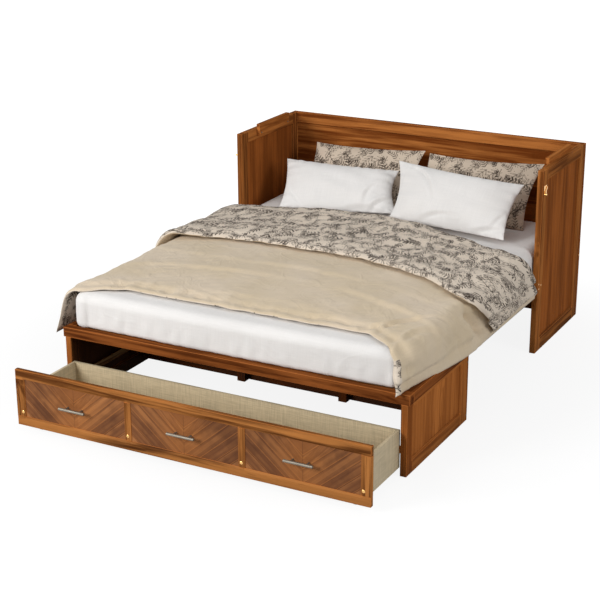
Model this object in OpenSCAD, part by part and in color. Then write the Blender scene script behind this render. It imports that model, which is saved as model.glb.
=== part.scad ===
// Wall bed, shown opened out: a framed cabinet that stands against the wall,
// a slatted platform in four sections that folds up between the cabinet and a
// foot base, a drawer on casters in the foot base, and the bedding on top.
// The origin is on the floor below the middle of the cabinet's back face.
// X runs to the right, -Y towards the foot, Z up. Lengths are in millimetres.

/* [Cabinet] */
// Width of the cabinet over its side frames
cab_w = 1650; // [1500:10:1900]
// Depth of the cabinet from the wall to its front edges
cab_d = 630; // [560:10:760]
// Height of the cabinet's sides and back
cab_h = 910; // [860:10:1000]
// Thickness of a cabinet side frame
side_t = 28; // [24:1:36]
// Thickness of the cabinet back
back_t = 30; // [24:1:40]
// Width of the stile at a side's front edge
front_stile = 67; // [50:1:90]
// Width of the stile at a side's rear edge
rear_stile = 46; // [36:1:80]
// Height of the cabinet's top rails
top_rail = 60; // [45:1:90]
// Height of the cabinet's bottom rails
bottom_rail = 68; // [50:1:100]
// Width of the outer boards in the cabinet back
back_end_board = 236; // [120:1:320]
// Thickness of the boards let into the frames
panel_t = 8; // [6:1:10]
// Depth that a board is let into its frame
tongue = 6; // [4:1:10]
// Width of the bevel round the panels of the sides
bevel = 6; // [3:1:9]

/* [Lid cleats and latches] */
// Length of the cleat that locates the lid
cleat_l = 320; // [200:10:400]
// Height of the cleat
cleat_h = 60; // [45:1:80]
// Thickness of the cleat
cleat_t = 20; // [12:1:24]
// Height that the cleat stands above the side
cleat_proud = 24; // [10:1:30]
// Distance from the wall to the cleat
cleat_from_wall = 155; // [100:5:200]
// Radius of a bolt head
bolt_r = 4; // [3:0.5:5]
// Height of a bolt head
bolt_head = 2; // [1:0.5:3]
// Distance from the top of the cabinet to the middle of the latch
latch_drop = 97; // [80:1:180]
// Length of the latch lever from its pivot
latch_l = 30; // [22:1:36]
// Radius of the latch pivot
latch_pin_r = 3; // [2:0.5:4]

/* [Platform] */
// Height of the platform's top above the floor
deck_top = 356; // [320:1:400]
// Thickness of the platform sections
deck_t = 44; // [40:1:60]
// Overhang of the platform beyond the cabinet on each side
deck_over = 13; // [8:1:30]
// Distance that the folding leaves stay inside the cabinet's width on each side
leaf_inset = 13; // [5:1:27]
// Width of the rails of a platform section
deck_rail = 40; // [36:1:50]
// Gap between two sections at a fold
fold_gap = 16; // [16:1:20]
// Thickness of a slat
slat_t = 18; // [14:1:22]
// Width of a slat
slat_w = 70; // [50:1:80]
// Number of slats in the head section
head_slat_n = 5; // [4:1:6]
// Number of slats in each leaf
leaf_slat_n = 3; // [2:1:4]
// Number of slats in the foot section
foot_slat_n = 5; // [4:1:6]
// Width of the strips that carry the slats
ledger_w = 20; // [14:1:26]

/* [Fold hinges] */
// Length of one hinge
hinge_l = 96; // [60:3:120]
// Distance of the outer hinges from the middle
hinge_x = 560; // [400:10:650]
// Radius of the knuckles at the upper folds
knuckle_r = 5.5; // [5:0.1:5.6]
// Radius of the knuckles at the lower fold
ridge_knuckle_r = 4.5; // [4:0.1:4.6]
// Radius of a hinge pin
hinge_pin_r = 2; // [1.5:0.1:2.5]
// Thickness of a hinge plate
hinge_t = 3; // [2.5:0.1:3]

/* [Foot base] */
// Length of the foot base
base_d = 640; // [560:10:700]
// Width that the platform overhangs the base on each side
base_lip = 10; // [6:1:24]
// Thickness of a base side frame
base_side_t = 28; // [24:1:36]
// Width of the stile at the foot
base_front_stile = 58; // [45:1:80]
// Width of the stile at the fold
base_rear_stile = 78; // [50:1:90]
// Height of the base's top rails
base_top_rail = 28; // [24:1:40]
// Height of the base's bottom rails
base_bottom_rail = 60; // [45:1:80]
// Thickness of the board across the base
base_back_t = 20; // [16:1:24]
// Distance from the fold end of the base to that board
base_back_inset = 20; // [10:1:40]
// Side of a square support leg
leg_w = 40; // [30:1:50]
// Distance of the support legs from the middle
leg_x = 262; // [180:1:320]

/* [Drawer] */
// Distance that the drawer is drawn out
drawer_travel = 328; // [280:1:340]
// Height of the drawer front's lower edge
front_z = 27; // [24:1:32]
// Height of the drawer front
front_h = 255; // [230:1:260]
// Thickness of the drawer front
front_t = 20; // [18:1:26]
// Overhang of the drawer front beyond the base on each side
front_over = 10; // [4:1:16]
// Height of the drawer front's rails
front_rail = 42; // [34:1:50]
// Width of its end stiles
front_end_stile = 44; // [34:1:60]
// Width of its middle stiles
front_mid_stile = 32; // [24:1:44]
// Distance of the middle stiles from the middle
front_mid_x = 270; // [240:1:300]
// Width of the bevel round the drawer panels
front_bevel = 9; // [5:1:12]
// Thickness of the drawer's walls
wall_t = 12; // [9:1:15]
// Height of the top of the drawer's walls
wall_top = 200; // [160:1:230]
// Thickness of the drawer bottom
bottom_t = 6; // [5:1:9]
// Height of the underside of the drawer bottom
bottom_z = 34; // [32:1:40]
// Gap between the drawer and the side of the base
drawer_gap = 6; // [5:1:14]

/* [Handles and studs] */
// Length of a handle bar
bar_l = 130; // [115:1:170]
// Radius of a handle bar
bar_r = 6; // [4.5:0.5:7]
// Distance from the drawer front to the middle of the bar
bar_out = 22; // [18:1:42]
// Distance between a handle's two posts
post_pitch = 70; // [56:1:100]
// Radius of a post
post_r = 4; // [3:0.5:5]
// Distance of the outer handles from the middle
bar_x = 536; // [500:1:560]
// Radius of a brass stud
stud_r = 7.5; // [4:0.5:9]
// Height of the studs above the floor
stud_z = 90; // [85:1:110]

/* [Casters] */
// Radius of a wheel
wheel_r = 14; // [12:0.5:14.5]
// Width of a wheel
wheel_w = 14; // [10:1:16]
// Radius of an axle
axle_r = 3; // [2:0.5:4]
// Distance of the casters from the middle
caster_x = 750; // [650:5:770]
// Distance from the ends of the drawer box to the axles
caster_inset = 30; // [22:1:60]

/* [Bedding] */
// Length of the mattress
mattress_l = 2030; // [1950:10:2060]
// Thickness of the mattress
mattress_t = 160; // [120:5:200]
// Gap between the mattress and the lid cleats
mattress_gap = 3; // [2:1:30]
// Distance from the wall to the mattress
mattress_back = 105; // [60:5:130]
// Distance from the foot of the platform to the mattress
mattress_inset = 10; // [5:1:50]
// Radius of the mattress corners seen from above
mattress_corner = 46; // [34:1:110]
// Radius of the mattress edges
mattress_edge = 30; // [20:1:45]
// Thickness of the duvet
duvet_t = 26; // [18:1:40]
// Thickness of its turned-back part
fold_t = 30; // [18:1:34]
// Length that the duvet hangs down at the sides
duvet_drop = 150; // [100:1:160]
// Width of a pillow
pillow_w = 640; // [560:10:650]
// Height of a pillow
pillow_h = 350; // [320:10:380]
// Thickness of a pillow
pillow_t = 114; // [90:1:124]
// Width of a sham at the back
sham_w = 620; // [560:10:640]
// Height of a sham
sham_h = 350; // [320:1:370]
// Thickness of a sham
sham_t = 70; // [60:1:90]

/* [Hidden] */
$fn = 40;

// Clearances
hairline = 0.2;        // joint line between two pieces of one frame
groove_fit = 0.1;      // each side of a board in its groove
board_play = 1;        // room for a board at the bottom of its groove
turn_fit = 0.05;       // radial clearance of what turns on a pin
end_fit = 0.4;         // end clearance of what turns on a pin
deck_play = 0.5;       // between the head section and the cabinet
rest_gap = 0.3;        // between a soft piece and what it lies on
bevel_step = 2;        // square step between a bevel and its panel
front_play = 1;        // between the head section and the cabinet's front edge
knuckle_sunk = 0.5;    // from a knuckle to the face of the platform
bite = 1;              // overrun of a cutting shape

// Woods and metals
caramel = "#a8642c";
walnut = "#7d4a2c";
linen = "#d8c7a4";
pale_wood = "#c79a62";
nickel = "#b9b5a8";
brass = "#c8a24a";
steel = "#8d8f92";
black = "#1d1c1b";
wheel_black = "#262423";
white_cloth = "#f2f0ee";
beige_cloth = "#cdbd9f";
greige_cloth = "#b5a998";

// Places along the bed, with the wall at zero
cab_x = cab_w / 2;
inner_x = cab_x - side_t;
deck_x = cab_x + deck_over;
leaf_x = cab_x - leaf_inset;
deck_bottom = deck_top - deck_t;
fold_half = fold_gap / 2;
bed_l = mattress_back + mattress_l + mattress_inset;
// What the head section, the foot base and the folds leave for the two leaves
leaf_l = (bed_l - (cab_d - front_play) - base_d - 3 * fold_half - 2 * fold_gap) / 2;
head_front = -(cab_d + fold_half - front_play);
head_axis = head_front - fold_half;
ridge_axis = head_axis - fold_gap - leaf_l;
foot_axis = ridge_axis - fold_gap - leaf_l;
base_rear = foot_axis - fold_half;
base_front = base_rear - base_d;
valley_z = deck_top - knuckle_r - knuckle_sunk;
ridge_z = deck_bottom - ridge_knuckle_r - knuckle_sunk;

// Places in the foot base and the drawer
base_x = deck_x - base_lip;
base_inner_x = base_x - base_side_t;
board_y = base_rear - base_back_inset;
leg_y = board_y - base_back_t;
box_x = base_inner_x - drawer_gap;
front_x = base_x + front_over;
closed_gap = 1;
front_back = base_front - drawer_travel - closed_gap;
front_face = front_back - front_t;
drawer_hold = 10;      // length of the drawer box that stays in the base
box_rear = base_front + drawer_hold;
axle_z = wheel_r;
axle_ys = [front_back + caster_inset, box_rear - caster_inset];

// Mattress
mattress_x = inner_x - cleat_t - mattress_gap;
mattress_z = deck_top + rest_gap;
mattress_top = mattress_z + mattress_t;
mattress_foot_y = base_front + mattress_inset;
mattress_third = mattress_l / 3;
section_edge = 12;     // edge radius where two mattress sections meet

// A block between two corners
module block(a, b) {
    translate(a) cube(b - a);
}

// The same thing on the left and on the right
module both_sides() {
    children();
    mirror([1, 0, 0]) children();
}

// A rod along X between two places
module rod_x(x0, x1, y, z, r) {
    translate([x0, y, z]) rotate([0, 90, 0]) cylinder(h = x1 - x0, r = r);
}

// A rod along Y between two places
module rod_y(x, y0, y1, z, r) {
    translate([x, y1, z]) rotate([90, 0, 0]) cylinder(h = y1 - y0, r = r);
}

// Framed panels lie in a plane of their own: x along, z up, outer face at y = 0.
// An opening is [[x0, z0], [x1, z1]].

// Wedge-sided cut that widens an opening from depth d to the face at y = 0
module bevel_cut(opening, w, d) {
    a = opening[0];
    b = opening[1];
    grow = w + w / d * bite;
    intersection() {
        translate([0, 0, a[1] - grow])
            linear_extrude(b[1] - a[1] + 2 * grow)
                polygon([[a[0] - grow, -bite], [b[0] + grow, -bite], [b[0], d], [a[0], d]]);
        translate([a[0] - grow, 0, 0])
            rotate([90, 0, 90])
                linear_extrude(b[0] - a[0] + 2 * grow)
                    polygon([[-bite, a[1] - grow], [-bite, b[1] + grow], [d, b[1]], [d, a[1]]]);
    }
}

// Bevels on both faces of each opening, and the groove for its board
module frame_cuts(openings, t, w) {
    recess = (t - panel_t) / 2;
    reach = [tongue, 0, tongue];
    for (o = openings) {
        bevel_cut(o, w, recess - bevel_step);
        translate([0, t, 0]) mirror([0, 1, 0]) bevel_cut(o, w, recess - bevel_step);
        block([o[0][0], recess - groove_fit, o[0][1]] - reach,
              [o[1][0], recess + panel_t + groove_fit, o[1][1]] + reach);
    }
}

// Openings between stiles that stand side by side
function row_openings(stiles, low, high) =
    [for (i = [0:len(stiles) - 2]) [[stiles[i][1], low], [stiles[i + 1][0], high]]];

// Frame whose stiles run its full height, with rails between them
module stile_frame(stiles, h, t, low, high, w) {
    difference() {
        union() {
            for (s = stiles) block([s[0], 0, 0], [s[1], t, h]);
            for (o = row_openings(stiles, low, high)) {
                block([o[0][0] + hairline, 0, 0], [o[1][0] - hairline, t, low]);
                block([o[0][0] + hairline, 0, high], [o[1][0] - hairline, t, h]);
            }
        }
        frame_cuts(row_openings(stiles, low, high), t, w);
    }
}

// Frame whose rails run its full length, with stiles between them
module rail_frame(stiles, h, t, low, high, w) {
    run = stiles[len(stiles) - 1][1];
    difference() {
        union() {
            block([stiles[0][0], 0, 0], [run, t, low]);
            block([stiles[0][0], 0, high], [run, t, h]);
            for (s = stiles) block([s[0], 0, low + hairline], [s[1], t, high - hairline]);
        }
        frame_cuts(row_openings(stiles, low, high), t, w);
    }
}

// Boards that stand in the grooves of such a frame
module boards(openings, t) {
    recess = (t - panel_t) / 2;
    reach = [tongue - board_play, 0, tongue - board_play];
    for (o = openings)
        block([o[0][0], recess, o[0][1]] - reach, [o[1][0], recess + panel_t, o[1][1]] + reach);
}

// Turns a frame's plane into the left side of the bed, its outer face at -x
module stand_left(x, y) {
    translate([-x, y, 0]) rotate([0, 0, -90]) children();
}

// Cabinet
side_run = cab_d - back_t;
side_stiles = [[0, rear_stile], [side_run - front_stile, side_run]];
side_high = cab_h - top_rail;

module left_side_frame() {
    color(caramel) stand_left(cab_x, -back_t)
        stile_frame(side_stiles, cab_h, side_t, bottom_rail, side_high, bevel);
}

module left_side_panel() {
    color(caramel) stand_left(cab_x, -back_t)
        boards(row_openings(side_stiles, bottom_rail, side_high), side_t);
}

module right_side_frame() {
    mirror([1, 0, 0]) left_side_frame();
}

module right_side_panel() {
    mirror([1, 0, 0]) left_side_panel();
}

back_stiles = [[-cab_x, -inner_x], [inner_x, cab_x]];

module back_frame() {
    color(caramel) translate([0, -back_t, 0])
        stile_frame(back_stiles, cab_h, back_t, bottom_rail, side_high, bevel);
}

// The back is filled by three boards that meet in two upright seams
module back_boards() {
    seam_x = inner_x - back_end_board;
    color(caramel) difference() {
        translate([0, -back_t, 0])
            boards(row_openings(back_stiles, bottom_rail, side_high), back_t);
        both_sides()
            block([seam_x - hairline, -back_t, 0], [seam_x + hairline, 0, cab_h]);
    }
}

// Blocks on the sides' inner faces that keep the lid in place
cleat_top = cab_h + cleat_proud;

module lid_cleats() {
    color(walnut) both_sides()
        block([inner_x - cleat_t, -cleat_from_wall - cleat_l, cleat_top - cleat_h],
              [inner_x, -cleat_from_wall, cleat_top]);
}

cleat_bolt_inset = 18;
cleat_bolt_z = cab_h - 22;

module cleat_bolts() {
    color(nickel) both_sides()
        for (y = [cleat_bolt_inset, cleat_l - cleat_bolt_inset])
            rod_x(inner_x - cleat_t - bolt_head, inner_x - cleat_t,
                  -cleat_from_wall - y, cleat_bolt_z, bolt_r);
}

// Bolt heads on the outer faces: three at the front edge where the platform is
// carried, and one at the rear edge
front_bolt_in = [7, 38, 11];
front_bolt_dz = [11, -1, -14];
bolt_row_z = deck_top - 14;
rear_bolt_z = deck_bottom + 16;

module cabinet_bolts() {
    color(brass) both_sides() {
        for (i = [0:2])
            rod_x(cab_x, cab_x + bolt_head, -cab_d + front_bolt_in[i],
                  bolt_row_z + front_bolt_dz[i], bolt_r);
        rod_x(cab_x, cab_x + bolt_head, -back_t / 2, rear_bolt_z, bolt_r);
    }
}

// Latch on each outer face: a plate with a pivot and a post, and a lever that swings
latch_plate = [2, 38, 44];
latch_post_r = 4;
latch_post_out = 16;   // how far the post stands out from the side
latch_post_dy = -10;   // from the pivot to the post
latch_post_dz = -7;
latch_y = -cab_d + 31;
latch_z = cab_h - latch_drop;
latch_pivot_dy = -6;
latch_pivot_dz = -10;
latch_lever_t = 3;
latch_cap_t = 2;
latch_cap_r = latch_pin_r + 2;
latch_eye_r = 6.5;
latch_arm_w = 7;
latch_lean = 35;
latch_pivot_y = latch_y + latch_pivot_dy;
latch_pivot_z = latch_z + latch_pivot_dz;
latch_lever_x = cab_x + latch_plate[0] + end_fit;
latch_cap_x = latch_lever_x + latch_lever_t + end_fit;

module latch_plates() {
    color(brass) both_sides() {
        block([cab_x, latch_y - latch_plate[1] / 2, latch_z - latch_plate[2] / 2],
              [cab_x + latch_plate[0], latch_y + latch_plate[1] / 2,
               latch_z + latch_plate[2] / 2]);
        rod_x(cab_x, latch_cap_x + latch_cap_t / 2, latch_pivot_y, latch_pivot_z, latch_pin_r);
        rod_x(latch_cap_x, latch_cap_x + latch_cap_t, latch_pivot_y, latch_pivot_z,
              latch_cap_r);
        rod_x(cab_x, cab_x + latch_post_out, latch_pivot_y + latch_post_dy,
              latch_pivot_z + latch_post_dz, latch_post_r);
    }
}

// The lever in its own plane, pivot at the origin, arm along +y
module latch_outline() {
    circle(latch_eye_r);
    translate([0, -latch_arm_w / 2]) square([latch_l, latch_arm_w]);
    translate([latch_l, 0]) circle(latch_arm_w / 2);
    translate([latch_l - latch_arm_w / 2, 0]) square([latch_arm_w, latch_arm_w]);
}

module latch_lever_right() {
    color(brass) translate([latch_lever_x, latch_pivot_y, latch_pivot_z])
        rotate([latch_lean, 0, 0]) rotate([90, 0, 90])
            linear_extrude(latch_lever_t) difference() {
                latch_outline();
                circle(latch_pin_r + turn_fit);
            }
}

module latch_lever_left() {
    mirror([1, 0, 0]) latch_lever_right();
}

// Platform sections
slat_z = deck_top - slat_t;
bearer_h = deck_t - slat_t - hairline;

// Rails round a section from its foot end y0 to its head end y1
module section_rails(x, y0, y1) {
    both_sides()
        block([x - deck_rail, y0, deck_bottom], [x, y1, deck_top]);
    for (y = [y0, y1 - deck_rail])
        block([-x + deck_rail + hairline, y, deck_bottom],
              [x - deck_rail - hairline, y + deck_rail, deck_top]);
}

// Strips along the side rails and a bearer in the middle, which carry the slats
module section_bearers(x, y0, y1) {
    a = y0 + deck_rail + hairline;
    b = y1 - deck_rail - hairline;
    both_sides()
        block([x - deck_rail - ledger_w, a, slat_z - ledger_w],
              [x - deck_rail - hairline, b, slat_z - hairline]);
    block([-deck_rail / 2, a, slat_z - bearer_h], [deck_rail / 2, b, slat_z - hairline]);
}

// Slats across the bed, evenly spaced between the cross rails
module section_slats(x, y0, y1, n) {
    gap = (y1 - y0 - 2 * deck_rail - n * slat_w) / (n + 1);
    for (i = [0:n - 1])
        translate([0, y0 + deck_rail + gap + i * (slat_w + gap), 0])
            block([-x + deck_rail + hairline, 0, slat_z],
                  [x - deck_rail - hairline, slat_w, deck_top]);
}

head_x = inner_x - deck_play;
head_rear = -back_t - deck_play;
leaf_a_y = [ridge_axis + fold_half, head_axis - fold_half];
leaf_b_y = [foot_axis + fold_half, ridge_axis - fold_half];

module head_deck_frame() {
    color(pale_wood) {
        section_rails(head_x, head_front, head_rear);
        section_bearers(head_x, head_front, head_rear);
    }
}

module head_slats() {
    color(pale_wood) section_slats(head_x, head_front, head_rear, head_slat_n);
}

// Strips on the cabinet's sides that carry the head section
head_ledger_h = 30;
head_ledger_end = 30;

module head_ledgers() {
    color(pale_wood) both_sides()
        block([inner_x - deck_rail, -cab_d + head_ledger_end, deck_bottom - head_ledger_h],
              [inner_x, -back_t - head_ledger_end, deck_bottom]);
}

module leaf_a_frame() {
    color(caramel) {
        section_rails(leaf_x, leaf_a_y[0], leaf_a_y[1]);
        section_bearers(leaf_x, leaf_a_y[0], leaf_a_y[1]);
    }
}

module leaf_a_slats() {
    color(pale_wood) section_slats(leaf_x, leaf_a_y[0], leaf_a_y[1], leaf_slat_n);
}

module leaf_b_frame() {
    color(caramel) {
        section_rails(leaf_x, leaf_b_y[0], leaf_b_y[1]);
        section_bearers(leaf_x, leaf_b_y[0], leaf_b_y[1]);
    }
}

module leaf_b_slats() {
    color(pale_wood) section_slats(leaf_x, leaf_b_y[0], leaf_b_y[1], leaf_slat_n);
}

// The foot section's front rail shows its full width
module foot_deck_frame() {
    color(caramel) {
        both_sides()
            block([deck_x - deck_rail, base_front + deck_rail + hairline, deck_bottom],
                  [deck_x, base_rear, deck_top]);
        block([-deck_x, base_front, deck_bottom], [deck_x, base_front + deck_rail, deck_top]);
        block([-deck_x + deck_rail + hairline, base_rear - deck_rail, deck_bottom],
              [deck_x - deck_rail - hairline, base_rear, deck_top]);
        section_bearers(deck_x, base_front, base_rear);
    }
}

module foot_slats() {
    color(pale_wood) section_slats(deck_x, base_front, base_rear, foot_slat_n);
}

// Hinges. A half lies on +y of its axis; own lists which of the three
// knuckles are its own. z0 and z1 are the plate's ends above the axis.
neck_share = 0.6;      // height of the neck behind a knuckle, per unit of its size
module hinge_half(own, r, z0, z1, bore) {
    seg = hinge_l / 3;
    neck = r * neck_share;
    difference() {
        union() {
            difference() {
                block([-hinge_l / 2, fold_half - hinge_t, z0], [hinge_l / 2, fold_half, z1]);
                for (i = [0:2])
                    if (len(search(i, own)) == 0)
                        translate([-hinge_l / 2 + i * seg, 0, 0])
                            block([-end_fit, 0, -r - end_fit],
                                  [seg + end_fit, fold_half + bite, r + end_fit]);
            }
            for (i = own) {
                x0 = -hinge_l / 2 + i * seg + end_fit / 2;
                x1 = x0 + seg - end_fit;
                rod_x(x0, x1, 0, 0, r);
                block([x0, 0, -neck], [x1, fold_half, neck]);
            }
        }
        rod_x(-hinge_l / 2 - bite, hinge_l / 2 + bite, 0, 0, bore);
    }
}

// The three hinges of one fold line, at its axis
module hinge_row(y, z) {
    for (x = [-hinge_x, 0, hinge_x]) translate([x, y, z]) children();
}

outer_pair = [0, 2];
middle_one = [1];
valley_plate = [4, 2]; // from the plate's ends to the underside and the top
ridge_plate = [1, 6];  // from the plate's ends to the axis and the top
valley_z0 = deck_bottom - valley_z + valley_plate[0];
valley_z1 = deck_top - valley_z - valley_plate[1];
ridge_z0 = ridge_plate[0];
ridge_z1 = deck_top - ridge_z - ridge_plate[1];

module head_hinge_plates() {
    color(steel) hinge_row(head_axis, valley_z)
        hinge_half(outer_pair, knuckle_r, valley_z0, valley_z1, hinge_pin_r);
}

module head_hinge_pins() {
    color(steel) hinge_row(head_axis, valley_z)
        rod_x(-hinge_l / 2, hinge_l / 2, 0, 0, hinge_pin_r);
}

module leaf_a_hinge_plates() {
    color(steel) {
        hinge_row(head_axis, valley_z) mirror([0, 1, 0])
            hinge_half(middle_one, knuckle_r, valley_z0, valley_z1, hinge_pin_r + turn_fit);
        hinge_row(ridge_axis, ridge_z)
            hinge_half(outer_pair, ridge_knuckle_r, ridge_z0, ridge_z1, hinge_pin_r);
    }
}

module ridge_hinge_pins() {
    color(steel) hinge_row(ridge_axis, ridge_z)
        rod_x(-hinge_l / 2, hinge_l / 2, 0, 0, hinge_pin_r);
}

module leaf_b_hinge_plates() {
    color(steel) {
        hinge_row(ridge_axis, ridge_z) mirror([0, 1, 0])
            hinge_half(middle_one, ridge_knuckle_r, ridge_z0, ridge_z1, hinge_pin_r + turn_fit);
        hinge_row(foot_axis, valley_z)
            hinge_half(middle_one, knuckle_r, valley_z0, valley_z1, hinge_pin_r + turn_fit);
    }
}

module foot_hinge_plates() {
    color(steel) hinge_row(foot_axis, valley_z) mirror([0, 1, 0])
        hinge_half(outer_pair, knuckle_r, valley_z0, valley_z1, hinge_pin_r);
}

module foot_hinge_pins() {
    color(steel) hinge_row(foot_axis, valley_z)
        rod_x(-hinge_l / 2, hinge_l / 2, 0, 0, hinge_pin_r);
}

// Foot base
base_stiles = [[0, base_rear_stile], [base_d - base_front_stile, base_d]];
base_high = deck_bottom - base_top_rail;

module base_left_frame() {
    color(caramel) stand_left(base_x, base_rear)
        stile_frame(base_stiles, deck_bottom, base_side_t, base_bottom_rail, base_high, bevel);
}

module base_left_panel() {
    color(caramel) stand_left(base_x, base_rear)
        boards(row_openings(base_stiles, base_bottom_rail, base_high), base_side_t);
}

module base_right_frame() {
    mirror([1, 0, 0]) base_left_frame();
}

module base_right_panel() {
    mirror([1, 0, 0]) base_left_panel();
}

module base_back_board() {
    color(walnut) block([-base_inner_x, leg_y, 0], [base_inner_x, board_y, deck_bottom]);
}

module support_legs() {
    color(walnut) both_sides()
        block([leg_x - leg_w / 2, leg_y - leg_w, 0], [leg_x + leg_w / 2, leg_y, deck_bottom]);
}

// Strips on the base's sides between which the drawer runs
guide_h = 30;
guide_z = 100;
guide_play = 0.4;

module drawer_guides() {
    color(pale_wood) both_sides()
        block([box_x + guide_play, base_front, guide_z],
              [base_inner_x, leg_y, guide_z + guide_h]);
}

base_bolt_inset = 11;  // from the fold end of the base
base_bolt_up = 26;     // from the floor
base_bolt_down = 37;   // from the platform
base_bolt_zs = [base_bolt_up, deck_bottom - base_bolt_down];

module base_bolts() {
    color(nickel) both_sides()
        for (z = base_bolt_zs)
            rod_x(base_x, base_x + bolt_head, base_rear - base_bolt_inset, z, bolt_r);
}

// Drawer front: rails over its full width, stiles between them
front_low = front_rail;
front_high = front_h - front_rail;
mid_half = front_mid_stile / 2;
front_stiles = [
    [-front_x, -front_x + front_end_stile],
    [-front_mid_x - mid_half, -front_mid_x + mid_half],
    [front_mid_x - mid_half, front_mid_x + mid_half],
    [front_x - front_end_stile, front_x]
];

module drawer_front_frame() {
    color(caramel) translate([0, front_face, front_z])
        rail_frame(front_stiles, front_h, front_t, front_low, front_high, front_bevel);
}

module drawer_front_panels() {
    color(walnut) translate([0, front_face, front_z])
        boards(row_openings(front_stiles, front_low, front_high), front_t);
}

module drawer_inner_front() {
    color(linen)
        block([-box_x, front_back, bottom_z], [box_x, front_back + wall_t, wall_top]);
}

module drawer_sides() {
    color(linen) both_sides()
        block([box_x - wall_t, front_back + wall_t, bottom_z], [box_x, box_rear, wall_top]);
}

module drawer_back() {
    color(linen)
        block([-box_x + wall_t, box_rear - wall_t, bottom_z],
              [box_x - wall_t, box_rear, wall_top]);
}

module drawer_bottom() {
    color(linen)
        block([-box_x + wall_t, front_back + wall_t, bottom_z],
              [box_x - wall_t, box_rear - wall_t, bottom_z + bottom_t]);
}

// Bar handles: two posts from the drawer panel to a bar, saddled to it
bar_y = front_face - bar_out;
bar_z = front_z + front_h / 2;
panel_face = front_face + (front_t - panel_t) / 2;
bar_edge = 1;

module bar() {
    r = bar_r - bar_edge;
    rod_x(-bar_l / 2 + bar_edge, bar_l / 2 - bar_edge, bar_y, bar_z, bar_r);
    rod_x(-bar_l / 2, bar_l / 2, bar_y, bar_z, r);
}

module drawer_handles() {
    color(nickel) for (x = [-bar_x, 0, bar_x]) translate([x, 0, 0]) {
        bar();
        for (s = [-1, 1]) difference() {
            rod_y(s * post_pitch / 2, bar_y, panel_face, bar_z, post_r);
            rod_x(-bar_l / 2, bar_l / 2, bar_y, bar_z, bar_r + hairline);
        }
    }
}

// Studs on the stiles: discs with a wide bevelled rim
stud_cap = 3;
stud_rim = 1;
stud_face_r = stud_r - 2.5;
stud_edge = 31;

module drawer_studs() {
    color(brass) for (x = [-front_x + stud_edge, -front_mid_x, front_mid_x, front_x - stud_edge])
        translate([x, front_face, stud_z]) rotate([90, 0, 0])
            rotate_extrude() polygon([[0, 0], [stud_r, 0], [stud_r, stud_rim],
                                      [stud_face_r, stud_cap], [0, stud_cap]]);
}

// Casters: a bracket with two cheeks, an axle and a wheel
cheek_t = 2;
cheek_gap = 0.5;
bracket_t = 3;
cheek_x = wheel_w / 2 + cheek_gap;
cheek_r = axle_r + 4;
plate_half = 18;

module at_casters() {
    for (sx = [-1, 1]) for (y = axle_ys) translate([sx * caster_x, y, 0]) children();
}

module caster_brackets() {
    color(black) at_casters() {
        block([-cheek_x - cheek_t, -plate_half, bottom_z - bracket_t],
              [cheek_x + cheek_t, plate_half, bottom_z]);
        both_sides() difference() {
            union() {
                block([cheek_x, -cheek_r, axle_z], [cheek_x + cheek_t, cheek_r, bottom_z - bite]);
                rod_x(cheek_x, cheek_x + cheek_t, 0, axle_z, cheek_r);
            }
            rod_x(cheek_x - bite, cheek_x + cheek_t + bite, 0, axle_z, axle_r);
        }
    }
}

module caster_axles() {
    color(steel) at_casters()
        rod_x(-cheek_x - cheek_t, cheek_x + cheek_t, 0, axle_z, axle_r);
}

wheel_edge = 1.5;

module wheel(sx, y) {
    color(wheel_black) translate([sx * caster_x, y, axle_z]) rotate([0, 90, 0])
        rotate_extrude() {
            bore = axle_r + turn_fit;
            translate([bore, -wheel_w / 2]) square([wheel_r - wheel_edge - bore, wheel_w]);
            translate([bore, -wheel_w / 2 + wheel_edge])
                square([wheel_r - bore, wheel_w - 2 * wheel_edge]);
        }
}

module caster_wheel_front_left() {
    wheel(-1, axle_ys[0]);
}

module caster_wheel_front_right() {
    wheel(1, axle_ys[0]);
}

module caster_wheel_rear_left() {
    wheel(-1, axle_ys[1]);
}

module caster_wheel_rear_right() {
    wheel(1, axle_ys[1]);
}

// Mattress sections, each with rounded edges, full corners at its outer ends
// and a slight crown on top
crown = 3;
crown_in = 120;

module mattress_corners(y, plan_r, edge_r) {
    both_sides()
        for (z = [edge_r, mattress_t - crown - edge_r])
            translate([mattress_x - plan_r, y, mattress_z + z]) {
                if (plan_r > edge_r)
                    rotate_extrude($fn = 28)
                        translate([plan_r - edge_r, 0]) circle(edge_r, $fn = 16);
                else
                    sphere(edge_r, $fn = 20);
            }
}

module mattress_section(y0, y1, r0, r1) {
    color(white_cloth) hull() {
        mattress_corners(y0 + r0, r0, min(r0, mattress_edge));
        mattress_corners(y1 - r1, r1, min(r1, mattress_edge));
        block([-mattress_x + crown_in, y0 + r0 / 2, mattress_top - crown - bite],
              [mattress_x - crown_in, y1 - r1 / 2, mattress_top]);
    }
}

module mattress_foot() {
    mattress_section(mattress_foot_y, mattress_foot_y + mattress_third - rest_gap,
                     mattress_corner, section_edge);
}

module mattress_middle() {
    mattress_section(mattress_foot_y + mattress_third,
                     mattress_foot_y + 2 * mattress_third - rest_gap,
                     section_edge, section_edge);
}

module mattress_head() {
    mattress_section(mattress_foot_y + 2 * mattress_third, mattress_foot_y + mattress_l,
                     section_edge, mattress_corner);
}

// A closed solid between two grids of points, an upper and a lower one
function flat(grid) = [for (row = grid) for (p = row) p];

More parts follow.
